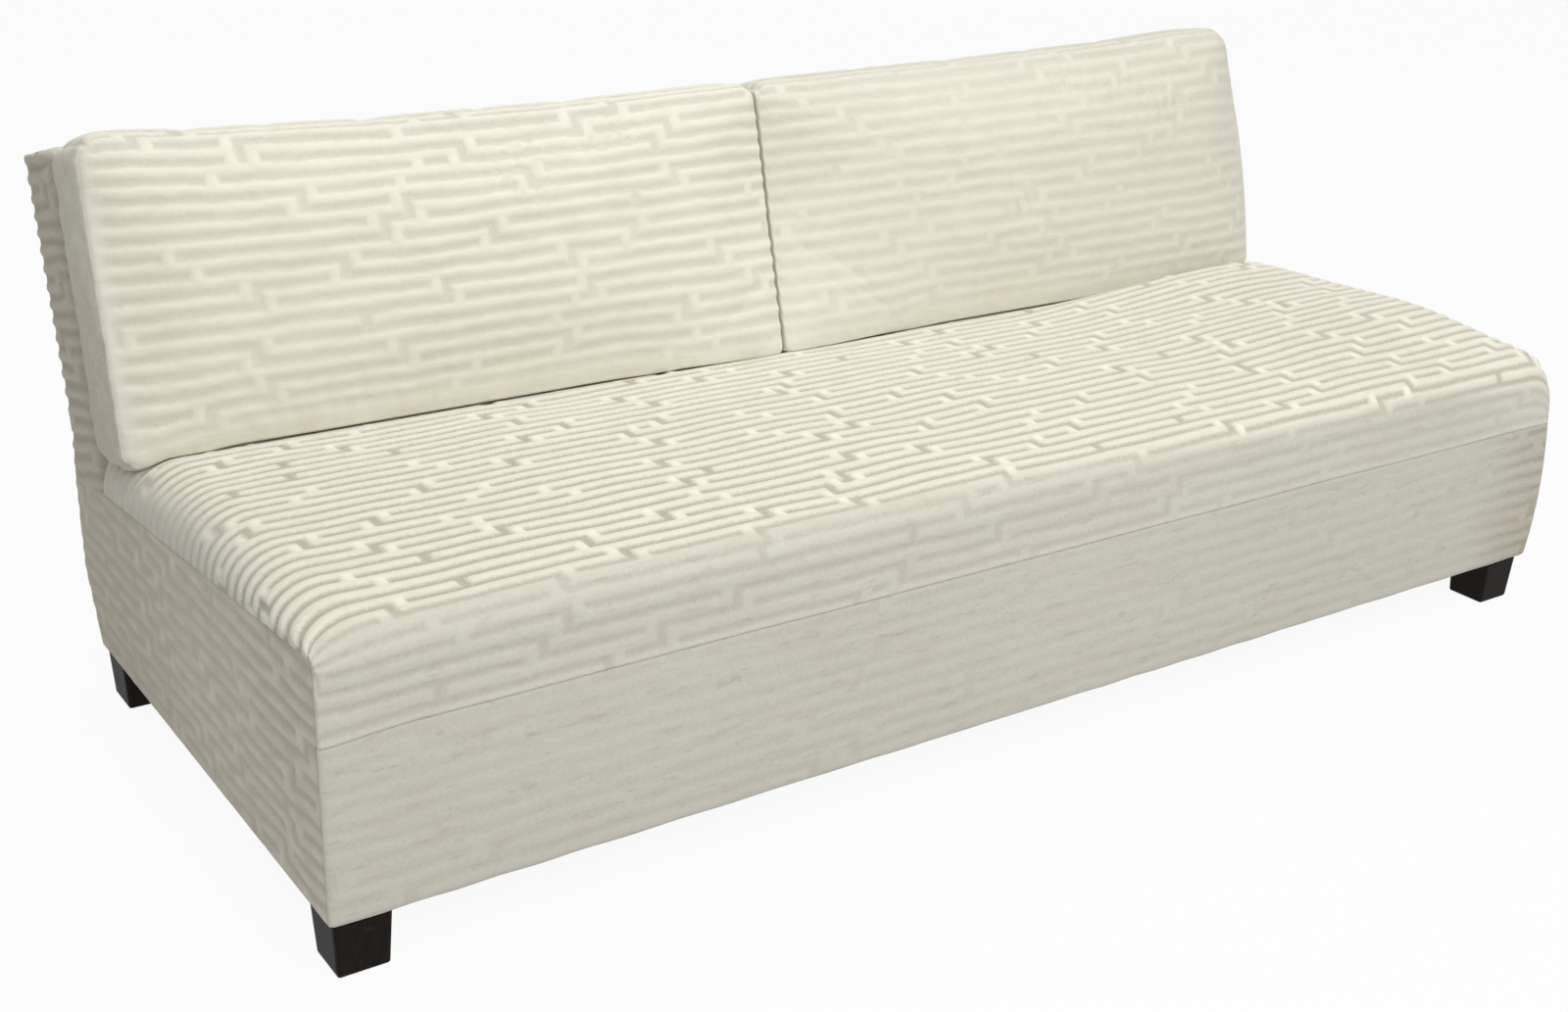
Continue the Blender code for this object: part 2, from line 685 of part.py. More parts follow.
def cushion_point(u, v, w, sign):
    """Place of a cage point: u along the cushion, v front to rear, w foot to top, each from -1 to 1."""
    inner = CUSHION_SPLIT / 2
    outer = HALF - CUSHION_END_INSET
    width = outer - inner
    forward = CUSHION_REAR + CUSHION_THICKNESS * (1 - v) / 2
    foot = slope_rise(CUSHION_FOOT, forward)
    top = slope_rise(CUSHION_FOOT, CUSHION_FRONT) + CUSHION_HEIGHT
    x = sign * (inner + width * (1 + u) / 2)
    x -= sign * CUSHION_DRAW_IN * u * (1 - w * w)
    if v < 0:
        forward += CUSHION_CROWN * (1 - u**4) * (1 - w**4) + CUSHION_BOW * (1 - u * u)
    if w > 0:
        top += CUSHION_TOP_RISE * (1 - u * u) * (1 - v * v)
    y, z = slope_point(forward, foot + (top - foot) * (1 + w) / 2)
    if w == -1 and v == 0:
        z += CUSHION_HOLLOW
    return (x, y, z)


def cushion_cage(sign):
    """Coarse closed cage of a cushion, with its two sewn edges creased."""
    bm = bmesh.new()
    bmesh.ops.create_cube(bm, size=2.0)
    for axis, cells in enumerate(CUSHION_CELLS):
        along = [
            edge
            for edge in bm.edges
            if abs(edge.verts[0].co[axis] - edge.verts[1].co[axis]) > 1
        ]
        bmesh.ops.subdivide_edges(bm, edges=along, cuts=cells - 1, use_grid_fill=True)
    crease = bm.edges.layers.float.new("crease_edge")
    for edge in bm.edges:
        ends = [tuple(round(value, 4) for value in vert.co) for vert in edge.verts]
        sewn = all(abs(v) == 1 and max(abs(u), abs(w)) == 1 for u, v, w in ends)
        corner = all(abs(u) == 1 and abs(w) == 1 for u, v, w in ends)
        if (sewn and ends[0][1] == ends[1][1]) or corner:
            edge[crease] = SEAM_CREASE
    for vert in bm.verts:
        vert.co = cushion_point(*(round(value, 4) for value in vert.co), sign)
    face_outwards(bm)
    return bm


def round_out(obj):
    subdivide = obj.modifiers.new("round_out", "SUBSURF")
    subdivide.levels = 1
    subdivide.render_levels = 1


def make_cushion(side, sign):
    """A boxed cushion: fill, cover with a slot under it, the zip in the slot and the zip's slider."""
    middle_x = sign * (CUSHION_SPLIT / 2 + HALF - CUSHION_END_INSET) / 2
    forward = CUSHION_REAR + CUSHION_THICKNESS / 2
    zip_y = slope_point(forward, slope_rise(CUSHION_FOOT, forward))[0]
    rest = Vector((middle_x, zip_y, CUSHION_FOOT))
    carrier = new_empty(side + "_cushion_rest", rest, SOFA)
    cover_name = side + "_cushion_cover"
    cover = add_object(cover_name, mesh_from(cover_name, cushion_cage(sign)), VELVET, carrier, -rest)
    round_out(cover)
    thicken(cover, CUSHION_COVER_T, False)
    core_name = side + "_cushion_core"
    core = add_object(core_name, mesh_from(core_name, cushion_cage(sign)), FIBRE, carrier, -rest)
    round_out(core)
    inwards = core.modifiers.new("inside_cover", "DISPLACE")
    inwards.strength = -(CUSHION_COVER_T + CORE_GAP)
    inwards.mid_level = 0.0

    # Subdivision keeps three quarters of the hollow at the middle of the boxing.
    zip_z = CUSHION_FOOT + 0.75 * CUSHION_HOLLOW + ZIP_RECESS
    slot_size = Vector((ZIP_LENGTH, ZIP_WIDTH, 2 * (CUSHION_HOLLOW + CUSHION_COVER_T)))
    slot_bm = bmesh.new()
    bmesh.ops.create_cube(slot_bm, size=1.0, matrix=Matrix.Diagonal((*slot_size, 1)))
    slot = add_cutter(side + "_zip_slot", mesh_from(side + "_zip_slot", slot_bm), rest)
    cut(cover, slot)
    reach = Vector((ZIP_LENGTH / 2 - GAP, ZIP_WIDTH / 2 - GAP, 0))
    low = Vector((middle_x, zip_y, zip_z)) - reach
    high = Vector((middle_x, zip_y, zip_z + ZIP_T)) + reach
    zip_strip = box(side + "_cushion_zip", low, high, ZIP_TAPE, carrier)
    zip_strip.location = -rest

    # The slider rests at the outer end with its tab pointing towards the middle of the sofa.
    start = sign * (ZIP_LENGTH / 2 - SLIDER_MARGIN - SLIDER_LENGTH / 2)
    body = SLIDER_LENGTH / 2
    tip = body + TAB_LENGTH
    outline = [
        (-body, -SLIDER_WIDTH / 2),
        (body, -SLIDER_WIDTH / 2),
        (body, -TAB_WIDTH / 2),
        (tip, -TAB_WIDTH / 2),
        (tip, TAB_WIDTH / 2),
        (body, TAB_WIDTH / 2),
        (body, SLIDER_WIDTH / 2),
        (-body, SLIDER_WIDTH / 2),
    ]
    curve = outline_curve(side + "_zip_slider", [(-sign * x, y) for x, y in outline], SLIDER_T)
    at = Vector((start, 0, zip_z - GAP - SLIDER_T / 2 - CUSHION_FOOT))
    add_object(side + "_zip_slider", curve, ZINC, carrier, at)


def main():
    bores = make_bolts()
    make_legs(bores)
    make_base_frame(bores)
    make_back_frame(bores)
    make_springs()
    make_seat()
    make_panels(bores)
    make_back_padding()
    make_inside_back_cover()
    for side, sign in SIDES.items():
        make_cushion(side, sign)


main()
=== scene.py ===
"""Looks of an armless upholstered sofa with two loose back cushions.

Lengths are in metres. While a piece is shaped, y runs back from the front face of the base, and settle
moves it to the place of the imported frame.
"""

import math

import bpy
import numpy as np
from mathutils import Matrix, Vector


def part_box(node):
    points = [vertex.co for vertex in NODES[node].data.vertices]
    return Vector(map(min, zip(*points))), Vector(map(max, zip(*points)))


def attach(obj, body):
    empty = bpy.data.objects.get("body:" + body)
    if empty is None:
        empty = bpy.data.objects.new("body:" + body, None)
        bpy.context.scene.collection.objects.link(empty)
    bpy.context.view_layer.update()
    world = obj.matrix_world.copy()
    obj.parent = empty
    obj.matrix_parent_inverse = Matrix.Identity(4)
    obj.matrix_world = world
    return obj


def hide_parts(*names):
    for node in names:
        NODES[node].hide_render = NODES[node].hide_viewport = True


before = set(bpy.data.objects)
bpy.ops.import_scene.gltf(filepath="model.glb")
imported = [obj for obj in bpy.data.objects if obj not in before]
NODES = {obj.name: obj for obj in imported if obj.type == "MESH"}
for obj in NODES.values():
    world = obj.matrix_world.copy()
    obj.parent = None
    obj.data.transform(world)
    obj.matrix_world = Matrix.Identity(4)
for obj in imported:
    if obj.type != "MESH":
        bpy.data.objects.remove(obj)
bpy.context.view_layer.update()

LEGS = [name for name in NODES if name.endswith("_leg")]
FRONT_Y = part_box("front_panel")[0].y

# Sizes of the solids that the cloth follows. Where a size has two values, -1 is the left and 1 the right.
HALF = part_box("front_panel")[1].x
BASE_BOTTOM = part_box("front_panel")[0].z
FRONT_SEAM = 0.313
SIDE_SEAM_FRONT = 0.413
SIDE_SEAM_REAR = 0.333
SEAT_HEIGHT = 0.422
SEAT_CROWN = 0.0165
CROWN_END = 0.641
SEAT_END_ROUND = {-1: 0.075, 1: 0.060}
SEAT_FRONT_ROUND = 0.045
SEAT_CORNER_ROUND = {-1: 0.012, 1: 0.055}
SEAT_HEM = 0.004
SEAT_FLOOR = 0.3052
RIGHT_BULGE = 0.023
SEAM_DIP = 0.007
RAKE = math.radians(14.5)
SIN = math.sin(RAKE)
COS = math.cos(RAKE)
KNEE_Y = 0.91861
KNEE_HEIGHT = 0.370
KICK_HEIGHT = 0.190
BASE_DEPTH = 0.86461
BACK_RISE = 0.40484
BACK_THICKNESS = 0.140
BACK_HALF = HALF - 0.008
BACK_REAR = 0.0032
BACK_ROUND = 0.024
BACK_CORNER_ROUND = 0.008
OUTSIDE_T = 0.003
FRAME_FRONT = 0.0053
CUSHION_REAR = 0.1403
CUSHION_THICKNESS = 0.126
CUSHION_FRONT = CUSHION_REAR + CUSHION_THICKNESS
CUSHION_FOOT = 0.4223
CUSHION_TALL = 0.430
CUSHION_CROWN = 0.018
CUSHION_BOW = 0.014
CUSHION_TOE = 0.037
CUSHION_INNER = 0.002
CUSHION_SPLIT = -0.010
SPLIT_SWAY = 0.022
CUSHION_OUTER = {-1: HALF - 0.005, 1: HALF - 0.018}
ZIP_LENGTH = 0.600
ZIP_WIDTH = 0.012
ZIP_SLOT_DEPTH = 0.0085
ZIP_MIDDLE = (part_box("right_cushion_zip")[0].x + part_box("right_cushion_zip")[1].x) / 2
ZIP_Y = (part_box("right_cushion_zip")[0].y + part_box("right_cushion_zip")[1].y) / 2 - FRONT_Y

# Cloth. The lead into a channel and the run over which a rib rounds are in millimetres, as fret gives them.
RIB_PITCH = 0.025
SLOT_DEPTH = 0.0040
CHANNEL_LEAD = 2.5
RIB_ROUND = 8.0
SEAT_RELIEF = 0.0034
PANEL_RELIEF = 0.0016
FRONT_RELIEF = 0.0010
END_RELIEF = 0.0017
BACK_RELIEF = 0.0026
BACK_END_RELIEF = 0.0052
CUSHION_RELIEF = {-1: 0.0030, 1: 0.0021}
CUSHION_CARVE = {-1: 0.26, 1: 0.11}
# Painted light: how lit the ribbed cloth of each cushion is painted, the left one more.
CUSHION_PAINTED_LIGHT = {-1: 0.79, 1: 0.60}
# Patches of crushed pile on a cushion: place along the sofa, height on the cushion, and spread each way
CRUSHED = {
    -1: ((-0.445, 0.345, 0.050, 0.060), (-0.30, 0.375, 0.05, 0.03)),
    1: ((0.80, 0.330, 0.10, 0.045), (0.47, 0.19, 0.04, 0.03), (0.62, 0.38, 0.05, 0.03)),
}
EDGE_ROLL = 0.0047
EDGE_RUN = 0.0085
LEAD = np.array([0.0, 0.0005, 0.0018, 0.0042, 0.0085])


def alone(obj):
    bpy.ops.object.select_all(action="DESELECT")
    obj.select_set(True)
    bpy.context.view_layer.objects.active = obj


def points_of(obj):
    flat = np.empty(len(obj.data.vertices) * 3, np.float32)
    obj.data.vertices.foreach_get("co", flat)
    return flat.reshape(-1, 3).astype(float)


def put_points(obj, points):
    obj.data.vertices.foreach_set("co", points.astype(np.float32).ravel())
    obj.data.update()


def normals_of(obj):
    flat = np.empty(len(obj.data.vertices) * 3, np.float32)
    obj.data.vertex_normals.foreach_get("vector", flat)
    return flat.reshape(-1, 3).astype(float)


def store(obj, name, values):
    layer = obj.data.attributes.new(name, "FLOAT", "POINT")
    layer.data.foreach_set("value", np.asarray(values, np.float32))


def stored(obj, name):
    values = np.empty(len(obj.data.vertices), np.float32)
    obj.data.attributes[name].data.foreach_get("value", values)
    return values.astype(float)


def new_sheet(name, columns, rows):
    """A flat grid, with the column and row number of each of its points."""
    bpy.ops.object.select_all(action="DESELECT")
    bpy.ops.mesh.primitive_grid_add(x_subdivisions=columns, y_subdivisions=rows, size=2)
    obj = bpy.context.object
    obj.name = obj.data.name = name
    flat = points_of(obj)
    column = np.rint((flat[:, 0] + 1) / 2 * columns).astype(int)
    row = np.rint((flat[:, 1] + 1) / 2 * rows).astype(int)
    return obj, column, row


def new_block(name, cuts):
    """A cube from -1 to 1, each axis divided by the numbers given for it one after another."""
    bpy.ops.object.select_all(action="DESELECT")
    bpy.ops.mesh.primitive_cube_add(size=2)
    obj = bpy.context.object
    obj.name = obj.data.name = name
    bpy.context.tool_settings.mesh_select_mode = (False, True, False)
    for axis, numbers in enumerate(cuts):
        for number in numbers:
            mesh = obj.data
            ends = np.empty(len(mesh.edges) * 2, np.int32)
            mesh.edges.foreach_get("vertices", ends)
            ends = ends.reshape(-1, 2)
            place = points_of(obj)
            span = np.abs(place[ends[:, 0]] - place[ends[:, 1]])
            mesh.vertices.foreach_set("select", np.zeros(len(mesh.vertices), bool))
            mesh.polygons.foreach_set("select", np.zeros(len(mesh.polygons), bool))
            mesh.edges.foreach_set("select", span.argmax(axis=1) == axis)
            bpy.ops.object.mode_set(mode="EDIT")
            bpy.ops.mesh.subdivide(number_cuts=number - 1)
            bpy.ops.object.mode_set(mode="OBJECT")
    return obj


def close_back(obj):
    """Fill the open edge of a bent sheet, so that the piece is a closed body."""
    alone(obj)
    bpy.context.tool_settings.mesh_select_mode = (False, True, False)
    bpy.ops.object.mode_set(mode="EDIT")
    bpy.ops.mesh.select_all(action="SELECT")
    bpy.ops.mesh.remove_doubles(threshold=0.00001)
    bpy.ops.mesh.select_all(action="DESELECT")
    bpy.ops.mesh.select_non_manifold()
    bpy.ops.mesh.edge_face_add()
    bpy.ops.mesh.select_all(action="SELECT")
    bpy.ops.mesh.normals_make_consistent(inside=False)
    bpy.ops.object.mode_set(mode="OBJECT")


def apply_modifiers(obj):
    alone(obj)
    for modifier in list(obj.modifiers):
        bpy.ops.object.modifier_apply(modifier=modifier.name)


def spaced(length, step):
    """Places from 0 to length, close together at both ends so that the edge can roll in."""
    steps = max(2, round((length - 2 * LEAD[-1]) / step))
    inner = np.linspace(LEAD[-1], length - LEAD[-1], steps + 1)
    return np.concatenate([LEAD[:-1], inner, (length - LEAD[:-1])[::-1]])


def rolled(distance):
    """How far a sheet has turned in at this distance from its edge."""
    short = 1 - np.minimum(distance, EDGE_RUN) / EDGE_RUN
    return EDGE_ROLL * (1 - np.sqrt(1 - short**2))


def turned_up(distance):
    """How far the lower edge of a panel is drawn up at this distance from its corner."""
    short = 1 - np.minimum(distance, 0.011) / 0.011
    return 0.0055 * (1 - np.sqrt(1 - short**2))


def smooth(value, low, high):
    share = np.clip((value - low) / (high - low), 0, 1)
    return share * share * (3 - 2 * share)


def swells(a, b, size, seed):
    """Soft unevenness, about -1 to 1, with swells about this size across."""
    draws = np.random.RandomState(seed)
    total = np.zeros_like(a)
    for _ in range(10):
        turn, phase = draws.rand(2) * 2 * math.pi
        length = size * (0.7 + 0.8 * draws.rand())
        total += np.sin(2 * math.pi * (a * math.cos(turn) + b * math.sin(turn)) / length + phase)
    return total / 4


def fret(along, across, channel, cell, tie, seed):
    """Ribs and channels: millimetres into a rib, below zero in a channel, and the share of tie.

    Where a slot cuts a rib, a tie closes the channel above it on one hand and below it on the other.
    """
    draws = np.random.RandomState(seed).rand(4, 97, 89)
    lane = np.floor(across / RIB_PITCH).astype(int)
    nearest = np.floor(across / RIB_PITCH + 0.5).astype(int)
    depth = np.abs(across - (lane + 0.5) * RIB_PITCH) - channel * RIB_PITCH / 2
    first = np.floor(along / cell).astype(int)
    in_lane = smooth(RIB_PITCH / 2 - np.abs(across - (lane + 0.5) * RIB_PITCH), 0.0, 0.006)
    ties = np.zeros_like(along)

    def knot(rib, number):
        place, hand, tied, cut = draws[:, rib % 97, number % 89]
        centre = (number + 0.5 + 0.4 * (place - 0.5) + rib * 0.382 % 1 - 0.5) * cell
        return centre, np.where(hand < 0.62, 1.0, -1.0), tied < 0.86, cut < 0.8

    for step in (-2, -1, 0, 1, 2):
        for rib, way in ((lane, -1), (lane + 1, 1)):
            centre, hand, tied, _ = knot(rib, first + step)
            bar = tie / 2 - np.abs(along - centre - way * hand * tie)
            depth = np.where(tied, np.maximum(depth, np.minimum(bar, tie / 2)), depth)
            ties = np.where(tied, np.maximum(ties, smooth(bar, -0.001, 0.003) * in_lane), ties)
    for step in (-2, -1, 0, 1, 2):
        centre, _, _, cut = knot(nearest, first + step)
        slot = np.maximum(np.abs(along - centre) - tie / 2, -SLOT_DEPTH)
        depth = np.where(cut, np.minimum(depth, slot), depth)
    return depth * 1000, ties


def sunk_share(pile):
    """Share of the relief that the cloth is sunk by: none on a rib, all of it in a channel."""
    return 1 - np.sin(np.pi / 2 * np.clip((pile + CHANNEL_LEAD) / RIB_ROUND, 0, 1))


def press(obj, pile, relief, mask):
    """Sink the channels below the ribs."""
    sunk = relief * sunk_share(pile) * mask
    put_points(obj, points_of(obj) - normals_of(obj) * sunk[:, None])


def slope_rise(height, forward):
    return (height - KNEE_HEIGHT - forward * SIN) / COS


def slope_point(forward, rise):
    """(y, z) of a point this far forward of the outside back and this far up its slope."""
    return KNEE_Y + rise * SIN - forward * COS, KNEE_HEIGHT + rise * COS + forward * SIN


def back_front_y(height):
    return slope_point(BACK_THICKNESS, slope_rise(height, BACK_THICKNESS))[0]


def outside_y(height):
    share = np.clip((height - BASE_BOTTOM) / (KICK_HEIGHT - BASE_BOTTOM), 0, 1)
    return BASE_DEPTH + (KNEE_Y - BASE_DEPTH) * share


def side_seam(y):
    return SIDE_SEAM_FRONT + (SIDE_SEAM_REAR - SIDE_SEAM_FRONT) * y / KNEE_Y


def bowed(points):
    """Push the right end of the base out a little, as its soft filling does."""
    x, y, z = points.T
    out = RIGHT_BULGE * np.sin(np.pi * np.clip((z - 0.045) / 0.345, 0, 1) ** 0.85)
    x = x + out * smooth(x, 0.80, HALF) * (1 - smooth(y, 0.3, 0.8))
    return np.stack([x, y, z], axis=1)


def front_seam(x):
    """Height of the seam under the front band: a little uneven, and drawn down at the left corner."""
    dip = SEAM_DIP * np.exp(-(((x + HALF) / 0.075) ** 2))
    return FRONT_SEAM - dip + 0.0006 * swells(x, 0 * x, 0.30, 19)


def seat_top(y):
    """Height of the seat: a low crown that stays up until it meets the cushions."""
    crown = 0.005 + SEAT_CROWN * np.sin(np.pi * np.clip((y + 0.06) / 0.74, 0, 1))
    return SEAT_HEIGHT + crown * (1 - smooth(y, 0.630, 0.660))


def seat_surface(x, y):
    """Height of the seat over its round left end."""
    share = np.clip((HALF + x) / SEAT_END_ROUND[-1], 0, 1)
    seam = side_seam(y) + SEAT_HEM
    return seam + (seat_top(y) - seam) * np.sqrt(1 - (1 - share) ** 2)


# Finishes


def linear(red, green, blue):
    """Scene colour of a colour seen on a screen, 0 to 255."""
    parts = [value / 255 for value in (red, green, blue)]
    lit = [part / 12.92 if part <= 0.04045 else ((part + 0.055) / 1.055) ** 2.4 for part in parts]
    return (*lit, 1.0)


class Wire:
    """An output of a node, so that shader maths is written as sums."""

    def __init__(self, tree, socket=None):
        self.tree = tree
        self.socket = socket

    def node(self, kind, settings=None, inputs=None, output=0):
        """Add a node: its settings first, then the values or links of its sockets."""
        made = self.tree.nodes.new(kind)
        for name, value in (settings or {}).items():
            setattr(made, name, value)
        for name, value in (inputs or {}).items():
            if isinstance(value, Wire):
                self.tree.links.new(value.socket, made.inputs[name])
            else:
                made.inputs[name].default_value = value
        return Wire(self.tree, made.outputs[output] if made.outputs else None)

    def sum(self, operation, first, second):
        return self.node("ShaderNodeMath", {"operation": operation}, {0: first, 1: second})

    def __add__(self, other):
        return self.sum("ADD", self, other)

    def __radd__(self, other):
        return self.sum("ADD", other, self)

    def __sub__(self, other):
        return self.sum("SUBTRACT", self, other)

    def __rsub__(self, other):
        return self.sum("SUBTRACT", other, self)

    def __mul__(self, other):
        return self.sum("MULTIPLY", self, other)

    def __rmul__(self, other):
        return self.sum("MULTIPLY", other, self)


def new_finish(name):
    made = bpy.data.materials.new(name)
    made.use_nodes = True
    made.node_tree.nodes.clear()
    return made, Wire(made.node_tree)


def close_finish(start, inputs):
    shader = start.node("ShaderNodeBsdfPrincipled", {}, inputs)
    start.node("ShaderNodeOutputMaterial", {}, {"Surface": shader})


def object_place(start, scale=(1, 1, 1)):
    place = start.node("ShaderNodeTexCoord", output="Object")
    return start.node("ShaderNodeMapping", {}, {"Vector": place, "Scale": scale})


def noise(start, place, scale, detail=2.0, roughness=0.5):
    inputs = {"Vector": place, "Scale": scale, "Detail": detail, "Roughness": roughness}
    return start.node("ShaderNodeTexNoise", {}, inputs)


def ramp(start, value, low, high):
    """0 up to low, 1 from high, and smooth between."""
    inputs = {0: value, 1: low, 2: high}
    return start.node("ShaderNodeMapRange", {"interpolation_type": "SMOOTHSTEP"}, inputs)


def mix(start, share, first, second, how="MIX"):
    settings = {"data_type": "RGBA", "blend_type": how}
    return start.node("ShaderNodeMix", settings, {0: share, 6: first, 7: second}, 2)


def bump(start, height, distance, strength=1.0):
    return start.node("ShaderNodeBump", {}, {"Height": height, "Distance": distance, "Strength": strength})


def velvet_finish():
    """Ivory velvet: bright cut ribs on a flat greige ground, brushed and a little uneven. Light and shade are
    painted into its tone: one attribute runs it from the greyer tone of faces turned from the light to the
    lit ivory of the top, and another draws it to a browner painted shade.
    """
    made, start = new_finish("ivory_cut_velvet")
    place = object_place(start)
    pile, nap_and_painted_light, carve, painted_shade = (
        start.node("ShaderNodeAttribute", {"attribute_name": name}, output="Fac")
        for name in ("pile", "nap_and_painted_light", "carve", "painted_shade")
    )
    fuzz = noise(start, place, 1100.0, 2.0)
    tuft = noise(start, place, 190.0, 3.0, 0.65)
    brush = noise(start, object_place(start, (0.3, 1.0, 1.0)), 46.0, 5.0, 0.72)
    fleck = noise(start, object_place(start, (0.22, 1.0, 1.0)), 120.0, 3.0, 0.6)
    drift = noise(start, place, 4.5, 2.0)
    edge = pile * 0.5 + (fuzz - 0.5) * 1.2 + (tuft - 0.5) * 2.0
    rib = 1 - (1 - ramp(start, edge, -2.3, 1.5)) * carve
    # Painted light: a low value gives the greyer rib and ground tones of faces turned from the light, a high
    # one the lit ivory of the top.
    rib_tone = mix(start, nap_and_painted_light, linear(206, 203, 191), linear(250, 247, 232))
    ground_tone = mix(start, nap_and_painted_light, linear(168, 162, 146), linear(192, 185, 161))
    tone = mix(start, rib, ground_tone, rib_tone)
    # Painted shade: a browner, darker tone where a piece lies in shade.
    tone = mix(start, painted_shade, tone, linear(170, 152, 120))
    tone = mix(start, ramp(start, brush, 0.38, 0.75) * 0.16, tone, linear(186, 178, 156))
    tone = mix(start, ramp(start, fleck, 0.55, 0.74) * (0.8 - nap_and_painted_light) * 0.34, tone, linear(150, 143, 124))
    tone = mix(start, ramp(start, drift, 0.3, 0.8) * 0.07, tone, linear(214, 206, 184))
    speck = (fuzz - 0.5) * 0.35 + (tuft - 0.5) * 0.45 + 0.5
    grey = start.node("ShaderNodeCombineColor", {}, {0: speck, 1: speck, 2: speck})
    tone = mix(start, 0.35, tone, grey, "OVERLAY")
    height = fuzz * 0.5 + tuft * 0.8
    inputs = {
        "Base Color": tone,
        "Roughness": 0.92 - rib * 0.08,
        "Sheen Weight": 0.18,
        "Sheen Roughness": 0.45,
        "Specular IOR Level": 0.25,
        "Normal": bump(start, height, 0.0007, 0.6),
    }
    close_finish(start, inputs)
    return made


def leg_finish():
    """Near-black brown stain over a straight grain, with rubbed spots."""
    made, start = new_finish("espresso_stained_wood")
    place = object_place(start, (6.0, 6.0, 1.0))
    grain = noise(start, place, 40.0, 5.0, 0.65)
    pores = noise(start, object_place(start, (14.0, 14.0, 0.8)), 60.0, 2.0)
    scuff = noise(start, object_place(start), 60.0, 4.0, 0.7)
    tone = mix(start, ramp(start, grain, 0.35, 0.7), linear(13, 8, 5), linear(30, 20, 14))
    tone = mix(start, ramp(start, pores, 0.55, 0.75) * 0.6, tone, linear(11, 7, 5))
    rubbed = ramp(start, scuff, 0.60, 0.74)
    tone = mix(start, rubbed * 0.50, tone, linear(74, 58, 44))
    close_finish(start, {
        "Base Color": tone,
        "Roughness": 0.48 + rubbed * 0.2 + grain * 0.12,
        "Specular IOR Level": 0.12,
        "Normal": bump(start, grain + pores, 0.0004, 0.5),
    })
    return made


def frame_wood_finish():
    """Planed softwood of the frame."""
    made, start = new_finish("planed_frame_wood")
    rings = noise(start, object_place(start, (0.6, 9.0, 9.0)), 9.0, 4.0, 0.6)
    fibre = noise(start, object_place(start, (2.0, 60.0, 60.0)), 12.0, 2.0)
    tone = mix(start, ramp(start, rings, 0.35, 0.7), linear(214, 182, 136), linear(184, 142, 94))
    tone = mix(start, fibre * 0.3, tone, linear(160, 120, 78))
    close_finish(start, {
        "Base Color": tone,
        "Roughness": 0.6 + fibre * 0.2,
        "Normal": bump(start, fibre, 0.0004, 0.5),
    })
    return made


def foam_finish(name, pale, dark):
    """Open cells of foam or fibre."""
    made, start = new_finish(name)
    place = object_place(start)
    cells = start.node("ShaderNodeTexVoronoi", {}, {"Vector": place, "Scale": 420.0})
    cloud = noise(start, place, 25.0, 3.0)
    tone = mix(start, ramp(start, cells, 0.1, 0.6), dark, pale)
    tone = mix(start, cloud * 0.2, tone, dark)
    close_finish(start, {
        "Base Color": tone,
        "Roughness": 0.9 + cloud * 0.08,
        "Normal": bump(start, cells, 0.0008, 0.6),
    })
    return made


def plain_weave_finish(name, pale, dark, thread):
    """Plain cloth of crossed threads, this far apart."""
    made, start = new_finish(name)
    place = object_place(start)
    scale = 1.0 / thread
    warp = start.node("ShaderNodeTexWave", {"bands_direction": "X"}, {"Vector": place, "Scale": scale / 6.28})
    weft = start.node("ShaderNodeTexWave", {"bands_direction": "Y"}, {"Vector": place, "Scale": scale / 6.28})
    slub = noise(start, place, 120.0, 3.0)
    weave = warp * 0.5 + weft * 0.5
    tone = mix(start, ramp(start, weave, 0.2, 0.8), dark, pale)
    tone = mix(start, slub * 0.35, tone, dark)
    close_finish(start, {
        "Base Color": tone,
        "Roughness": 0.85 + slub * 0.1,
        "Normal": bump(start, weave + slub, 0.0005, 0.5),
    })
    return made


def steel_finish(name, pale, dark, rough):
    """Drawn or pressed steel, a little uneven in its shine."""
    made, start = new_finish(name)
    place = object_place(start)
    drawn = noise(start, place, 90.0, 4.0, 0.6)
    spots = noise(start, place, 700.0, 2.0)
    close_finish(start, {
        "Base Color": mix(start, drawn, dark, pale),
        "Metallic": 1.0,
        "Roughness": rough + drawn * 0.16,
        "Normal": bump(start, spots, 0.0001, 0.3),
    })
    return made


def zip_finish():
    """Zip tape, crossed all along by the coil's teeth."""
    made, start = new_finish("zip_tape_and_coil")
    place = object_place(start)
    teeth = start.node("ShaderNodeTexWave", {"bands_direction": "X"}, {"Vector": place, "Scale": 80.0})
    slub = noise(start, place, 300.0, 3.0)
    tone = mix(start, ramp(start, teeth, 0.3, 0.7), linear(176, 168, 146), linear(214, 207, 186))
    tone = mix(start, slub * 0.3, tone, linear(150, 142, 120))
    close_finish(start, {
        "Base Color": tone,
        "Roughness": 0.6 + slub * 0.2,
        "Normal": bump(start, teeth + slub * 0.5, 0.0006, 0.7),
    })
    return made


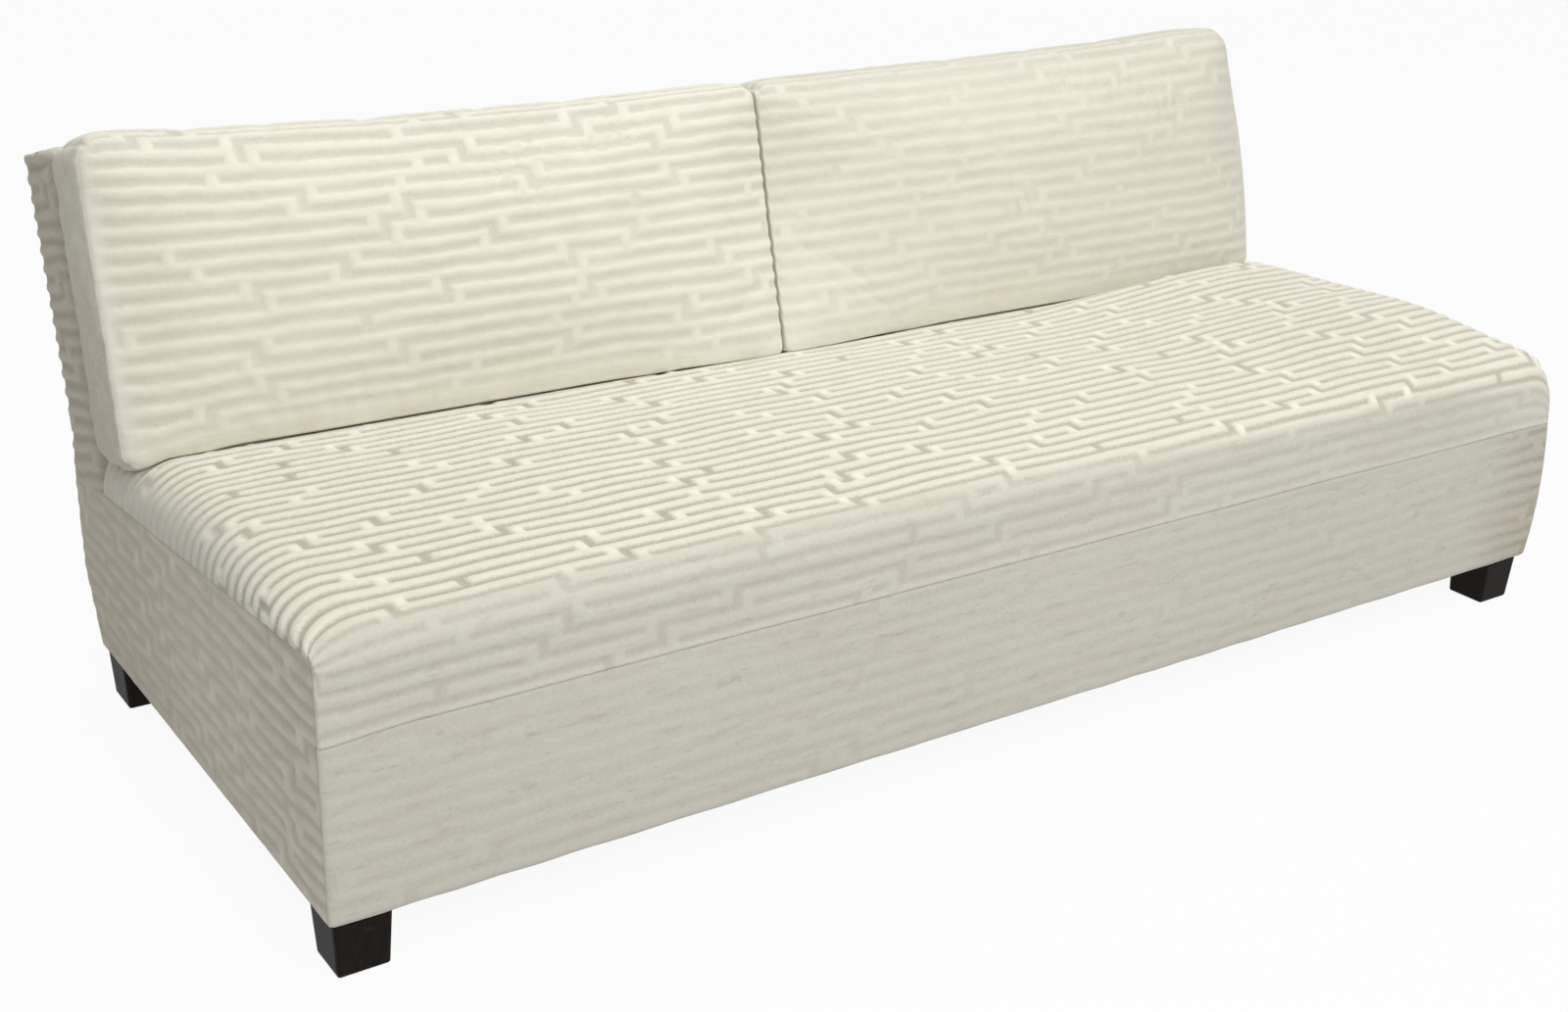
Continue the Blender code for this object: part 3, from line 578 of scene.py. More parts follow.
VELVET = velvet_finish()
FINISHES = {
    "espresso_wood": leg_finish(),
    "frame_wood": frame_wood_finish(),
    "foam": foam_finish("seat_foam_cells", linear(236, 224, 184), linear(214, 196, 148)),
    "cushion_fill": foam_finish("cushion_fibre", linear(240, 240, 234), linear(216, 216, 208)),
    "lining_cloth": plain_weave_finish("lining_weave", linear(186, 172, 142), linear(140, 126, 98), 0.0016),
    "dust_cloth": plain_weave_finish("dust_cover_weave", linear(46, 46, 48), linear(22, 22, 24), 0.0014),
    "spring_steel": steel_finish("oiled_spring_steel", linear(150, 150, 152), linear(92, 92, 96), 0.3),
    "zinc_steel": steel_finish("zinc_plated_steel", linear(212, 212, 206), linear(168, 168, 164), 0.25),
    "zip_tape": zip_finish(),
    "ivory_velvet": VELVET,
}


def dress(obj, finish):
    obj.data.materials.clear()
    obj.data.materials.append(finish)


def settle(obj, body, slot, nodes):
    """Move a finished piece to the frame's place, shade it, give it its finish, hide the parts that it stands
    for and hang it on the empty of its body.
    """
    put_points(obj, points_of(obj) + np.array([0.0, FRONT_Y, 0.0]))
    alone(obj)
    bpy.ops.object.shade_smooth()
    dress(obj, FINISHES[slot])
    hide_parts(*nodes)
    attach(obj, body)


# Base


def make_seat_top():
    """Seat top: band up the front, roll over the front edge, crown, and round ends down to the side seams."""
    turn = np.linspace(0, np.pi / 2, 17)[1:]
    end_share = np.concatenate([[0, 0, 0, 0], 1 - np.cos(turn)])
    end_rise = np.concatenate([[0, 0, 0, 0], np.sin(turn)])
    end_hem = np.concatenate([[0, 0, 0, 1], np.ones(16)])
    end_tuck = np.concatenate([[2, 1, 0, 0], np.zeros(16)])
    top_rows = 176
    middle = np.linspace(-1, 1, 347)[1:-1]
    ones = np.ones(len(middle))
    across = np.concatenate([-np.ones(20), middle, np.ones(20)])
    share = np.concatenate([end_share, ones, end_share[::-1]])
    rise = np.concatenate([end_rise, ones, end_rise[::-1]])
    hem = np.concatenate([end_hem, ones, end_hem[::-1]])
    column_tuck = np.concatenate([end_tuck, 0 * ones, end_tuck[::-1]])

    band = np.concatenate([[1, 1], np.linspace(1, 0, 33)[:-1], np.zeros(20 + top_rows + 20)])
    roll = np.concatenate([np.ones(34), np.linspace(1, 0, 21)[:-1], np.zeros(top_rows + 20)])
    along = np.concatenate([np.zeros(54), np.linspace(0, 1, top_rows + 1)[:-1], np.ones(20)])
    rest = np.concatenate([np.zeros(54 + top_rows), np.linspace(0, 1, 19), [1]])
    row_tuck = np.concatenate([[2, 1], np.zeros(len(rest) - 3), [2]])

    obj, column, row = new_sheet("seat_top", len(across) - 1, len(rest) - 1)

    def place(c, r):
        angle = roll[r] * np.pi / 2
        end_round = np.where(across[c] < 0, SEAT_END_ROUND[-1], SEAT_END_ROUND[1])
        x = across[c] * (HALF - SEAT_HEM * hem[c] * np.sin(angle) - end_round * share[c])
        corner = np.where(across[c] < 0, SEAT_CORNER_ROUND[-1], SEAT_CORNER_ROUND[1])
        radius = corner + (SEAT_FRONT_ROUND - corner) * rise[c]
        rear_seam = side_seam(back_front_y(SIDE_SEAM_REAR))
        rear = back_front_y(rear_seam + (SEAT_HEIGHT - rear_seam) * rise[c] - 0.003) - 0.0015
        y = radius + (CROWN_END - radius) * along[r] + (rear - CROWN_END) * rest[r]
        seam = side_seam(y) + SEAT_HEM * hem[c] * np.cos(angle)
        z = seam + (seat_top(y) - seam) * rise[c]
        y = y - radius * np.sin(angle)
        z = z - radius * (1 - np.cos(angle))
        z = z + (front_seam(x) - z) * band[r]
        return np.stack([x, y, z], axis=1)

    points = place(column, row)
    side_on = np.sin(roll[row] * np.pi / 2)
    edge = (rise[column] == 0) & (hem[column] == 0)
    tuck = column_tuck[column]
    sign = across[column]
    set_back = np.select([tuck == 2, tuck == 1, edge], [0.006, 0.0048, 0.0025], 0)
    points[:, 1] += side_on * set_back
    tucked_in = np.where(tuck == 2, 0.007, np.where(tuck == 1, 0.001 * side_on + 0.004 * (1 - side_on), 0))
    points[:, 0] -= sign * (tucked_in + np.where(edge & (tuck == 0), 0.0005 * side_on, 0))
    front_tuck = np.where(row < 3, row_tuck[row], 0)
    points[:, 1] += np.where(front_tuck == 2, 0.007, np.where(front_tuck == 1, 0.004, 0))
    walls = (tuck == 2) | (row_tuck[row] == 2)
    points[:, 2] = np.where(walls, SEAT_FLOOR, points[:, 2])

    middle_column = np.full(len(rest), len(across) // 2)
    profile = place(middle_column, np.arange(len(rest)))
    run = np.concatenate([[0], np.cumsum(np.linalg.norm(np.diff(profile, axis=0), axis=1))])
    middle_row = np.full(len(across), 150)
    section = place(np.arange(len(across)), middle_row)
    reach = np.concatenate([[0], np.cumsum(np.linalg.norm(np.diff(section, axis=0), axis=1))])
    along_cloth = reach[column] - reach.mean()
    across_cloth = run[row]

    free = ~walls & (tuck == 0) & (row_tuck[row] == 0)
    top = smooth(across_cloth, 0.10, 0.17) * free
    under = smooth(points[:, 1], 0.60, 0.64)
    points[:, 2] += 0.0016 * swells(points[:, 0], points[:, 1], 0.30, 3) * top * (1 - under) * rise[column]
    # The filling stands higher towards the right end, in front of the cushion.
    plump = smooth(points[:, 0], 0.40, 0.92) * smooth(points[:, 1], 0.0, 0.30)
    hump = smooth(points[:, 0], 0.40, 0.88) * (1 - smooth(points[:, 0], 0.97, 1.03))
    hump *= smooth(points[:, 1], 0.42, 0.58)
    plump = 0.018 * plump + 0.010 * hump
    points[:, 2] += plump * (1 - smooth(points[:, 1], 0.608, 0.642)) * top * rise[column]
    put_points(obj, bowed(points))

    warp = 0.0012 * swells(along_cloth, across_cloth, 0.12, 5)
    # At the front left corner the cloth is drawn down, and its ribs with it.
    drawn = np.exp(-(HALF + points[:, 0]) / 0.085)
    drawn = drawn * smooth(across_cloth, 0.03, 0.09) * (1 - smooth(across_cloth, 0.15, 0.24))
    warp += 0.020 * drawn
    pile, ties = fret(along_cloth, across_cloth + warp, 0.42, 0.38, 0.015, 11)
    # The light catches the pile further down the front towards the right end.
    low_light = 0.113 - 0.040 * smooth(points[:, 0], -0.4, 0.6) - 0.022 * smooth(points[:, 0], 0.75, 1.0)
    turned = smooth(across_cloth, low_light + 0.006, low_light + 0.042)
    # Towards the back the left end lies in shade.
    shaded = (across[column] < 0) * (1 - smooth(rise[column], 0.55, 0.97)) * smooth(points[:, 1], 0.12, 0.42)
    # Painted light: the pile is painted lighter where the top is lit and further down the front towards the
    # right end, and less lit where the left end lies in shade.
    right_end = smooth(points[:, 0], 0.80, 1.02)
    nap_and_painted_light = 0.205 + 0.16 * right_end + (0.475 - 0.25 * shaded) * turned
    seam_near = np.minimum(np.abs(reach[column] - reach[3]), np.abs(reach[column] - reach[-4]))
    mask = free * smooth(seam_near, 0.0, 0.010) * smooth(across_cloth, 0.0, 0.006)
    # Beside the left cushion the cloth is slack at the end, and its ribs lie down.
    slack = (across[column] < 0) * (1 - smooth(rise[column], 0.35, 0.85)) * smooth(points[:, 1], 0.30, 0.54)
    pucker = 0.0013 * swells(along_cloth, 0.6 * across_cloth, 0.05, 7) * slack
    pucker = pucker * smooth(seam_near, 0.0, 0.02) * free
    put_points(obj, points_of(obj) + normals_of(obj) * pucker[:, None])
    relief = PANEL_RELIEF + (SEAT_RELIEF - PANEL_RELIEF) * (0.25 + 0.75 * turned)
    relief = relief * (1 - 0.4 * shaded) * (1 - 0.75 * slack)
    press(obj, pile, relief, mask)
    store(obj, "pile", np.where(free, pile, -1.0))
    # Painted light: the flat ties are painted lighter on the lit top.
    store(obj, "nap_and_painted_light", nap_and_painted_light + 0.32 * ties * turned)
    # Painted shade: a browner tone on the slack cloth beside the left cushion.
    store(obj, "painted_shade", 0.10 * slack)
    rightward = smooth(points[:, 0], -0.9, 0.9)
    band_carve = 0.36 - 0.20 * rightward
    top_carve = (0.92 - 0.17 * rightward - 0.35 * shaded) * (1 - 0.7 * slack)
    store(obj, "carve", band_carve + (top_carve - band_carve) * turned)
    close_back(obj)
    settle(obj, "base", "ivory_velvet", ["seat_cover", "seat_foam"])


def make_front_panel():
    """Lower front panel, rolled in along its four edges."""
    xs = spaced(2 * HALF, 0.0058) - HALF
    zs = spaced(FRONT_SEAM - 0.0005 - BASE_BOTTOM, 0.0031)
    obj, column, row = new_sheet("front_panel_cover", len(xs) - 1, len(zs) - 1)
    x, up = xs[column], zs[row]
    edge = np.minimum(np.minimum(HALF - np.abs(x), up), zs[-1] - up)
    puff = 0.0022 * (1 - np.exp(-edge / 0.03)) + 0.0008 * swells(x, up, 0.22, 21) * smooth(edge, 0, 0.05)
    # The cloth is drawn into small level creases beside the left corner.
    drawn = np.sin(2 * np.pi * (up + 0.006 * swells(x, up, 0.15, 25)) / 0.017)
    puff += 0.0006 * drawn * np.exp(-(x + HALF) / 0.075) * smooth(edge, 0.002, 0.03)
    y = np.maximum(rolled(np.minimum(HALF - np.abs(x), up)), 0.45 * rolled(zs[-1] - up)) - puff
    hem_rise = turned_up(HALF - np.abs(x)) + 0.0007 * swells(x, 0 * x, 0.10, 33)
    low = up + hem_rise * (1 - smooth(up, 0.0, 0.05))
    low += (front_seam(x) - FRONT_SEAM) * smooth(up, 0.05, zs[-1])
    put_points(obj, bowed(np.stack([x, y, BASE_BOTTOM + low], axis=1)))
    down = zs[-1] - up
    warp = 0.0016 * swells(x, up, 0.10, 23)
    pile, _ = fret(x, 4 * RIB_PITCH - down + warp, 0.46, 0.50, 0.020, 27)
    # The right corner turns into the shade, most of all low down, and shows its ribs.
    corner = smooth(x, 0.88, HALF)
    press(obj, pile, FRONT_RELIEF + 0.0016 * corner, smooth(edge, 0.0, 0.008))
    store(obj, "pile", pile)
    # Painted shade: the front is painted in the greyer tone of a face turned from the light, and its right
    # corner darker and browner still, most of all low down.
    store(obj, "nap_and_painted_light", 0.066 * (1 - corner))
    store(obj, "carve", np.clip(0.12 + 0.10 * swells(x, 2 * up, 0.6, 29), 0.03, 0.24) + 0.46 * corner)
    store(obj, "painted_shade", (0.12 + 0.26 * (1 - smooth(up, 0.02, 0.17))) * corner)
    close_back(obj)
    settle(obj, "base", "ivory_velvet", ["front_panel"])


def make_end_panel(side, sign):
    """End panel of the base, under the seam that falls to the back."""
    along = spaced(0.88, 0.0058) / 0.88
    up = spaced(0.30, 0.0031) / 0.30
    obj, column, row = new_sheet(side + "_end_panel_cover", len(along) - 1, len(up) - 1)
    t, s = along[column], up[row]
    rear = outside_y(BASE_BOTTOM + 0.28 * s) - OUTSIDE_T - 0.0003
    y = FRAME_FRONT + (rear - FRAME_FRONT) * t
    radius = SEAT_CORNER_ROUND[sign]
    drop = radius - np.sqrt(radius**2 - (radius - np.minimum(y, radius)) ** 2)
    tall = side_seam(y) - 0.0005 - drop - BASE_BOTTOM
    z = BASE_BOTTOM + tall * s
    edge = np.minimum(np.minimum(y - FRAME_FRONT, rear - y), np.minimum(tall * s, tall * (1 - s)))
    z += turned_up(np.maximum(y - FRAME_FRONT, 0)) * (1 - smooth(tall * s, 0.0, 0.05))
    edge = np.maximum(edge, 0)
    puff = 0.0032 * (1 - np.exp(-edge / 0.05))
    puff += 0.0012 * swells(y, z, 0.20, 31 + sign) * smooth(edge, 0, 0.05)
    x = sign * (HALF - rolled(edge) + puff)
    put_points(obj, bowed(np.stack([x, y, z], axis=1)))
    warp = 0.0025 * swells(y, z, 0.12, 35 + sign)
    pile, ties = fret(y, z - FRONT_SEAM + 4 * RIB_PITCH + warp, 0.48, 0.24, 0.018, 39 + sign)
    press_sides(obj, pile, edge, sign)
    store(obj, "pile", pile)
    # Painted shade: the left end is painted darker and browner than the right, most of all at the back; the
    # ties are painted a little lighter where they catch the light.
    rearward = smooth(y, 0.35, 0.80) * (sign < 0)
    dashes = np.clip(swells(0.30 * y, z, 0.021, 45), -1, 1)
    store(obj, "nap_and_painted_light", 0.60 - 0.12 * rearward + 0.10 * ties + 0.20 * dashes)
    store(obj, "carve", 0.50 - 0.20 * smooth(y, 0.05, 0.30) + 0.12 * dashes)
    store(obj, "painted_shade", (0.25 if sign < 0 else 0.10) + 0.11 * rearward)
    close_back(obj)
    settle(obj, "base", "ivory_velvet", [side + "_end_panel"])


def press_sides(obj, pile, edge, sign):
    """Sink the channels of an end panel straight in."""
    points = points_of(obj)
    points[:, 0] -= sign * END_RELIEF * sunk_share(pile) * smooth(edge, 0.0, 0.008)
    put_points(obj, points)


def face_out(obj, direction):
    """Turn a sheet over if it faces the wrong way."""
    if normals_of(obj).mean(axis=0) @ np.array(direction) < 0:
        obj.data.flip_normals()


def make_outside_back():
    """Cloth over the outside of the back, from under the base to the top edge."""
    corners = np.array([
        (BASE_DEPTH, BASE_BOTTOM), (KNEE_Y, KICK_HEIGHT), (KNEE_Y, KNEE_HEIGHT), slope_point(0, BACK_RISE)])
    runs = np.concatenate([[0], np.cumsum(np.linalg.norm(np.diff(corners, axis=0), axis=1))])
    half = HALF - 0.003
    xs = spaced(2 * half, 0.0085) - half
    ups = spaced(runs[-1], 0.0046)
    obj, column, row = new_sheet("outside_back_cover", len(xs) - 1, len(ups) - 1)
    x, up = xs[column], ups[row]
    y = np.interp(up, runs, corners[:, 0])
    z = np.interp(up, runs, corners[:, 1])
    edge = np.minimum(half - np.abs(x), np.minimum(up, runs[-1] - up))
    points = np.stack([x * (1 - 0.0045 / half * smooth(z - SIDE_SEAM_REAR, 0.004, 0.075)), y, z], axis=1)
    leaning = up > runs[2]
    out = np.stack([0 * x, np.where(leaning, COS, 1.0), np.where(leaning, -SIN, 0.0)], axis=1)
    inward = 0.6 * rolled(edge) - (0.0016 + 0.0010 * swells(x, up, 0.25, 41)) * smooth(edge, 0, 0.06)
    put_points(obj, points - out * inward[:, None])
    pile, _ = fret(x, up + 0.0015 * swells(x, up, 0.12, 43), 0.46, 0.50, 0.020, 47)
    sunk = PANEL_RELIEF * sunk_share(pile) * smooth(edge, 0.0, 0.008)
    put_points(obj, points_of(obj) - out * sunk[:, None])
    store(obj, "pile", pile)
    # Painted shade: the outside back is painted in the greyer tone of a face turned from the light.
    store(obj, "nap_and_painted_light", np.full(len(x), 0.165))
    store(obj, "carve", np.full(len(x), 0.45))
    face_out(obj, Vector((0, 1, 0)))
    wall = obj.modifiers.new("cloth_and_board", "SOLIDIFY")
    wall.thickness = 0.0012
    wall.offset = -1
    apply_modifiers(obj)
    settle(obj, "base", "ivory_velvet", ["outside_back_panel"])


def round_box(points, low, high, radius):
    """Round the edges of points that lie on a box."""
    low, high = np.array(low), np.array(high)
    inner = np.clip(points, low + radius, high - radius)
    away = points - inner
    length = np.maximum(np.linalg.norm(away, axis=1), 1e-9)
    return inner + away * (radius / length)[:, None]


def round_edge(a, b, a_high, b_high, radius):
    """Round the edge where two faces of a box meet: its square section draws in to a quarter circle."""
    from_a, from_b = a - (a_high - radius), b - (b_high - radius)
    inside = (from_a > 0) & (from_b > 0)
    length = np.maximum(np.hypot(from_a, from_b), 1e-9)
    drawn = np.where(inside, np.maximum(from_a, from_b) / length, 1.0)
    a = np.where(inside, a_high - radius + from_a * drawn, a)
    b = np.where(inside, b_high - radius + from_b * drawn, b)
    return a, b


def make_inside_back():
    """Upholstered back: front, top and ends in one body, leaning with the posts."""
    obj = new_block("inside_back_upholstery", [(71, 3), (10, 2), (68, 2)])
    cage = points_of(obj)
    x = cage[:, 0] * BACK_HALF
    forward = BACK_REAR + (BACK_THICKNESS - BACK_REAR) * (1 - cage[:, 1]) / 2
    # The foot follows the falling side seam and tucks in behind the end panels.
    fall = (SIDE_SEAM_REAR - SIDE_SEAM_FRONT) / KNEE_Y
    above_knee = SIDE_SEAM_FRONT + fall * (KNEE_Y - forward * COS) - KNEE_HEIGHT
    foot = (above_knee - forward * SIN) / (COS - fall * SIN)
    foot -= 0.012
    rise = foot + (BACK_RISE - foot) * (cage[:, 2] + 1) / 2
    sign = np.sign(x)
    forward, span = round_edge(forward, np.abs(x), BACK_THICKNESS, BACK_HALF, BACK_ROUND)
    forward, rise = round_edge(forward, rise, BACK_THICKNESS, BACK_RISE, BACK_ROUND)
    span, rise = round_edge(span, rise, BACK_HALF, BACK_RISE, BACK_CORNER_ROUND)
    rise += 0.006 * smooth(rise, 0.30, BACK_RISE)
    on_end = np.abs(cage[:, 0]) > 0.999
    full = 0.0065 * on_end * smooth(forward, 0.0, 0.015) * smooth(BACK_THICKNESS - forward, 0.0, 0.03)
    x = sign * (span + full)
    rear = np.where(rise < 0, (rise * SIN + 0.0033) / COS, BACK_REAR)
    forward = np.where(cage[:, 1] > 0.999, rear, forward)
    y, z = slope_point(forward, rise)
    # The ends widen a little down to the end panels.
    above = z - side_seam(y)
    flare = smooth(above, -0.014, -0.006) * (1 - smooth(above, 0.004, 0.075))
    flare *= smooth(span, BACK_HALF - 0.03, BACK_HALF)
    x += sign * 0.0045 * flare
    put_points(obj, np.stack([x, y, z], axis=1))
    on_top = (cage[:, 2] > 0.999) & ~on_end
    along = np.where(on_end, np.sign(x) * (BACK_HALF + BACK_THICKNESS - forward), x)
    across = np.where(on_top, BACK_RISE + BACK_THICKNESS - forward, rise)
    pile, _ = fret(along, across + 0.0025 * swells(along, across, 0.10, 51), 0.46, 0.44, 0.020, 53)
    hidden = (cage[:, 1] > 0.999) | (cage[:, 2] < -0.999)
    near_rear = smooth(forward, 0.004, 0.014)
    press(obj, pile, np.where(on_end, BACK_END_RELIEF, BACK_RELIEF), np.where(hidden, 0, near_rear))
    store(obj, "pile", np.where(hidden, 0.0, pile))
    # Painted shade: the ends are painted darker than the front, and the left end browner than the right.
    store(obj, "nap_and_painted_light", np.where(on_end, 0.31, 0.49))
    store(obj, "carve", np.full(len(x), 0.45))
    store(obj, "painted_shade", np.where(on_end, np.where(x < 0, 0.30, 0.12), 0.06))
    settle(obj, "base", "ivory_velvet", ["inside_back_cover"])


# Back cushions


def swell(obj, held, pressure, cap):
    """Blow the cover out over its filling with the cloth solver, no further than cap."""
    before = points_of(obj)
    group = obj.vertex_groups.new(name="held")
    group.add([int(number) for number in np.flatnonzero(held)], 1.0, "REPLACE")
    cloth = obj.modifiers.new("swell", "CLOTH")
    settings = cloth.settings
    settings.quality = 4
    settings.mass = 0.3
    settings.tension_stiffness = 15
    settings.compression_stiffness = 8
    settings.shear_stiffness = 4
    settings.bending_stiffness = 0.3
    settings.use_pressure = True
    settings.uniform_pressure_force = pressure
    settings.shrink_min = -0.006
    settings.vertex_group_mass = "held"
    settings.effector_weights.gravity = 0
    cloth.collision_settings.use_collision = False
    cloth.point_cache.frame_start = 1
    cloth.point_cache.frame_end = 20
    for number in range(1, 21):
        bpy.context.scene.frame_set(number)
    apply_modifiers(obj)
    bpy.context.scene.frame_set(1)
    moved = points_of(obj) - before
    length = np.maximum(np.linalg.norm(moved, axis=1), 1e-9)
    put_points(obj, before + moved * np.minimum(1, cap / length)[:, None])
    obj.vertex_groups.clear()


def cut_zip_slot(obj, sign, w):
    """Open a slot in the underside, so that the zip and its slider show."""
    points = points_of(obj)
    near = np.abs(points[:, 0] - sign * ZIP_MIDDLE) < ZIP_LENGTH / 2 + 0.004
    near &= np.abs(points[:, 1] - ZIP_Y) < ZIP_WIDTH / 2 + 0.0035
    chosen = near & (w < -0.999)
    mesh = obj.data
    corners = np.empty(len(mesh.loops), np.int32)
    mesh.loops.foreach_get("vertex_index", corners)
    picked = chosen[corners.reshape(-1, 4)].all(axis=1)
    mesh.vertices.foreach_set("select", np.zeros(len(mesh.vertices), bool))
    mesh.edges.foreach_set("select", np.zeros(len(mesh.edges), bool))
    mesh.polygons.foreach_set("select", picked)
    alone(obj)
    bpy.context.tool_settings.mesh_select_mode = (False, False, True)
    bpy.ops.object.mode_set(mode="EDIT")
    bpy.ops.mesh.extrude_region_move(TRANSFORM_OT_translate={"value": (0, 0, ZIP_SLOT_DEPTH)})
    bpy.ops.object.mode_set(mode="OBJECT")


def make_cushion(side, sign, seed, top_line, droop, lean):
    """Boxed back cushion: ribbed front, plain boxing, flat where it leans and stands."""
    obj = new_block(side + "_back_cushion", [(63, 2), (10, 2), (33, 2)])
    cage = points_of(obj)
    u, v, w = cage.T
    inner = CUSHION_INNER + sign * CUSHION_SPLIT - 0.006
    width = CUSHION_OUTER[sign] - inner
    low = (0.0, 0.0, 0.0)
    high = (width, CUSHION_THICKNESS, CUSHION_TALL)
    box = np.stack([(u + 1) / 2 * width, (1 - v) / 2 * CUSHION_THICKNESS, (w + 1) / 2 * CUSHION_TALL], axis=1)
    body = round_box(box, low, high, 0.020)
    span, height = body[:, 0].copy(), body[:, 2].copy()
    span, height = round_edge(span, height, width, CUSHION_TALL, 0.042)
    from_end, height = round_edge(width - span, height, width, CUSHION_TALL, 0.030)
    from_end, from_top = round_edge(from_end, CUSHION_TALL - height, width, CUSHION_TALL, 0.008)
    span, from_top = round_edge(width - from_end, from_top, width, CUSHION_TALL, 0.026)
    body = np.stack([span, body[:, 1], CUSHION_TALL - from_top], axis=1)
    across = body[:, 0] / width * 2 - 1
    tall = body[:, 2] / CUSHION_TALL
    front = smooth(body[:, 1], 0.5 * CUSHION_THICKNESS, CUSHION_THICKNESS)
    crown = CUSHION_CROWN * (1 - np.abs(across) ** 3) * (1 - np.abs(2 * tall - 1) ** 5)
    bow = CUSHION_BOW * (1 - across**4)
    end = (across + 1) / 2
    toe = (1 - smooth(end, 0.0, 0.34)) * (1 - smooth(tall, 0.0, 0.62))
    forward = CUSHION_REAR + body[:, 1] + front * (crown + bow + CUSHION_TOE * toe)
    foot = slope_rise(CUSHION_FOOT, forward)
    top = slope_rise(CUSHION_FOOT, CUSHION_FRONT) + CUSHION_TALL
    lift = np.interp(end, *top_line)
    rise = foot + (top - foot) * tall + lift * smooth(tall, 0.35, 1.0)
    # The outer end droops over the round end of the seat.
    over = smooth(end, 0.84, 1.0) * (1 - smooth(tall, 0.0, 0.5))
    rise -= droop * over * (2.2 - 1.2 * front)
    outer = smooth(end, 0.80, 1.0)
    side_line = lean * (0.6 * np.sin(np.pi * np.clip(tall / 0.7, 0, 1)) - smooth(tall, 0.55, 1.0))
    x = sign * (inner + body[:, 0] + 0.4 * droop * over + outer * side_line)
    x += sign * 0.004 * across * (1 - (2 * tall - 1) ** 2) - SPLIT_SWAY * toe
    y, z = slope_point(forward, rise)
    put_points(obj, np.stack([x, y, z], axis=1))
    if sign < 0:
        obj.data.flip_normals()
    store(obj, "cage_u", u)
    store(obj, "cage_v", v)
    store(obj, "cage_w", w)
    on_face = (np.abs(cage) > 0.999).sum(axis=1)
    held = (v > 0.999) | (w < -0.999) | (on_face > 1)
    swell(obj, held, pressure=4.0, cap=0.022)
    finer = obj.modifiers.new("finer", "SUBSURF")
    finer.levels = finer.render_levels = 1
    apply_modifiers(obj)
    points = points_of(obj)
    # Nothing passes the back it leans on, the seat it stands on or the other cushion.
    forward = (KNEE_Y - points[:, 1]) * COS + (points[:, 2] - KNEE_HEIGHT) * SIN
    short = np.maximum(CUSHION_REAR + 0.0003 - forward, 0)
    points[:, 1] -= short * COS
    points[:, 2] += short * SIN
    under = np.maximum(CUSHION_FOOT + 0.0003, seat_top(points[:, 1]) + 0.0008)
    if droop:
        under = np.minimum(under, seat_surface(points[:, 0], points[:, 1]) + 0.0015)
    points[:, 2] = np.maximum(points[:, 2], under)
    sway = SPLIT_SWAY * (1 - smooth((points[:, 2] - CUSHION_FOOT) / CUSHION_TALL, 0.0, 0.62))
    points[:, 0] = sign * np.maximum(sign * points[:, 0], sign * (CUSHION_SPLIT - sway) + 0.0020)
    put_points(obj, points)
    cut_zip_slot(obj, sign, stored(obj, "cage_w"))
    u, v, w = (stored(obj, "cage_" + name) for name in "uvw")
    points = points_of(obj)

    on_front = v < -0.9
    on_top = (w > 0.98) & ~on_front
    along = points[:, 0]
    across = (w + 1) / 2 * CUSHION_TALL + on_top * (v + 1) / 2 * CUSHION_THICKNESS
    edge = np.minimum((1 - np.abs(u)) * width / 2, (1 - np.abs(w)) * CUSHION_TALL / 2)
    warp = 0.0016 * swells(along, across, 0.14, seed) + 0.0006 * swells(along, across, 0.035, seed + 1)
    pile, ties = fret(along, across + warp, 0.50, 0.42, 0.016, seed + 2)
    # Crushed pile stands in short upright streaks.
    crushed = np.zeros(len(along))
    for place, up, wide, tall in CRUSHED[sign]:
        crushed += np.exp(-(((along - place) / wide) ** 2) - ((across - up) / tall) ** 2)
    streaks = swells(along, 0.25 * across, 0.016, seed + 5)
    pile += 5.0 * crushed * streaks
    from_end = (1 - np.abs(u)) * width / 2
    on_cloth = on_front | on_top
    # The ribs fade where the cloth turns under and round the outer end, and run up to the inner one.
    end_fade = np.where(u < 0, smooth(from_end, 0.0, 0.008), smooth(from_end, 0.002, 0.030))
    fade = smooth(across, 0.012, 0.060) * end_fade
    ribbed = fade * (on_front | (on_top & (v < 0.9)))
    press(obj, pile, CUSHION_RELIEF[sign], ribbed)
    crumple = 0.0011 * swells(points[:, 1], points[:, 2], 0.045, seed + 6) * (np.abs(u) > 0.999)
    crumple *= smooth(1 - np.abs(v), 0.0, 0.3) * (sign * points[:, 0] > 0.5)
    put_points(obj, points_of(obj) + np.stack([sign * crumple, 0 * u, 0 * u], axis=1))
    round_off = np.where(on_front, edge, (1 + v) / 2 * CUSHION_THICKNESS)
    seam = -0.0009 * np.exp(-((round_off / 0.004) ** 2)) * (w > -0.98)
    put_points(obj, points_of(obj) + normals_of(obj) * seam[:, None])
    store(obj, "pile", np.where(on_cloth, pile, 0.0))
    faint = CUSHION_CARVE[sign] + 0.08 * swells(along, across, 0.55, seed + 3)
    faint += 0.10 * smooth(across, 0.27, 0.42)
    # Painted light: each cushion's front is painted lit to its own level, its ties a little lighter, and the
    # right cushion lighter low down; crushed pile is streaked lighter and darker.
    bright = CUSHION_PAINTED_LIGHT[sign] + 0.05 * ties - 0.20 * crushed * np.maximum(streaks, -0.3)
    bright += (sign > 0) * 0.16 * (1 - smooth(across, 0.04, 0.22))
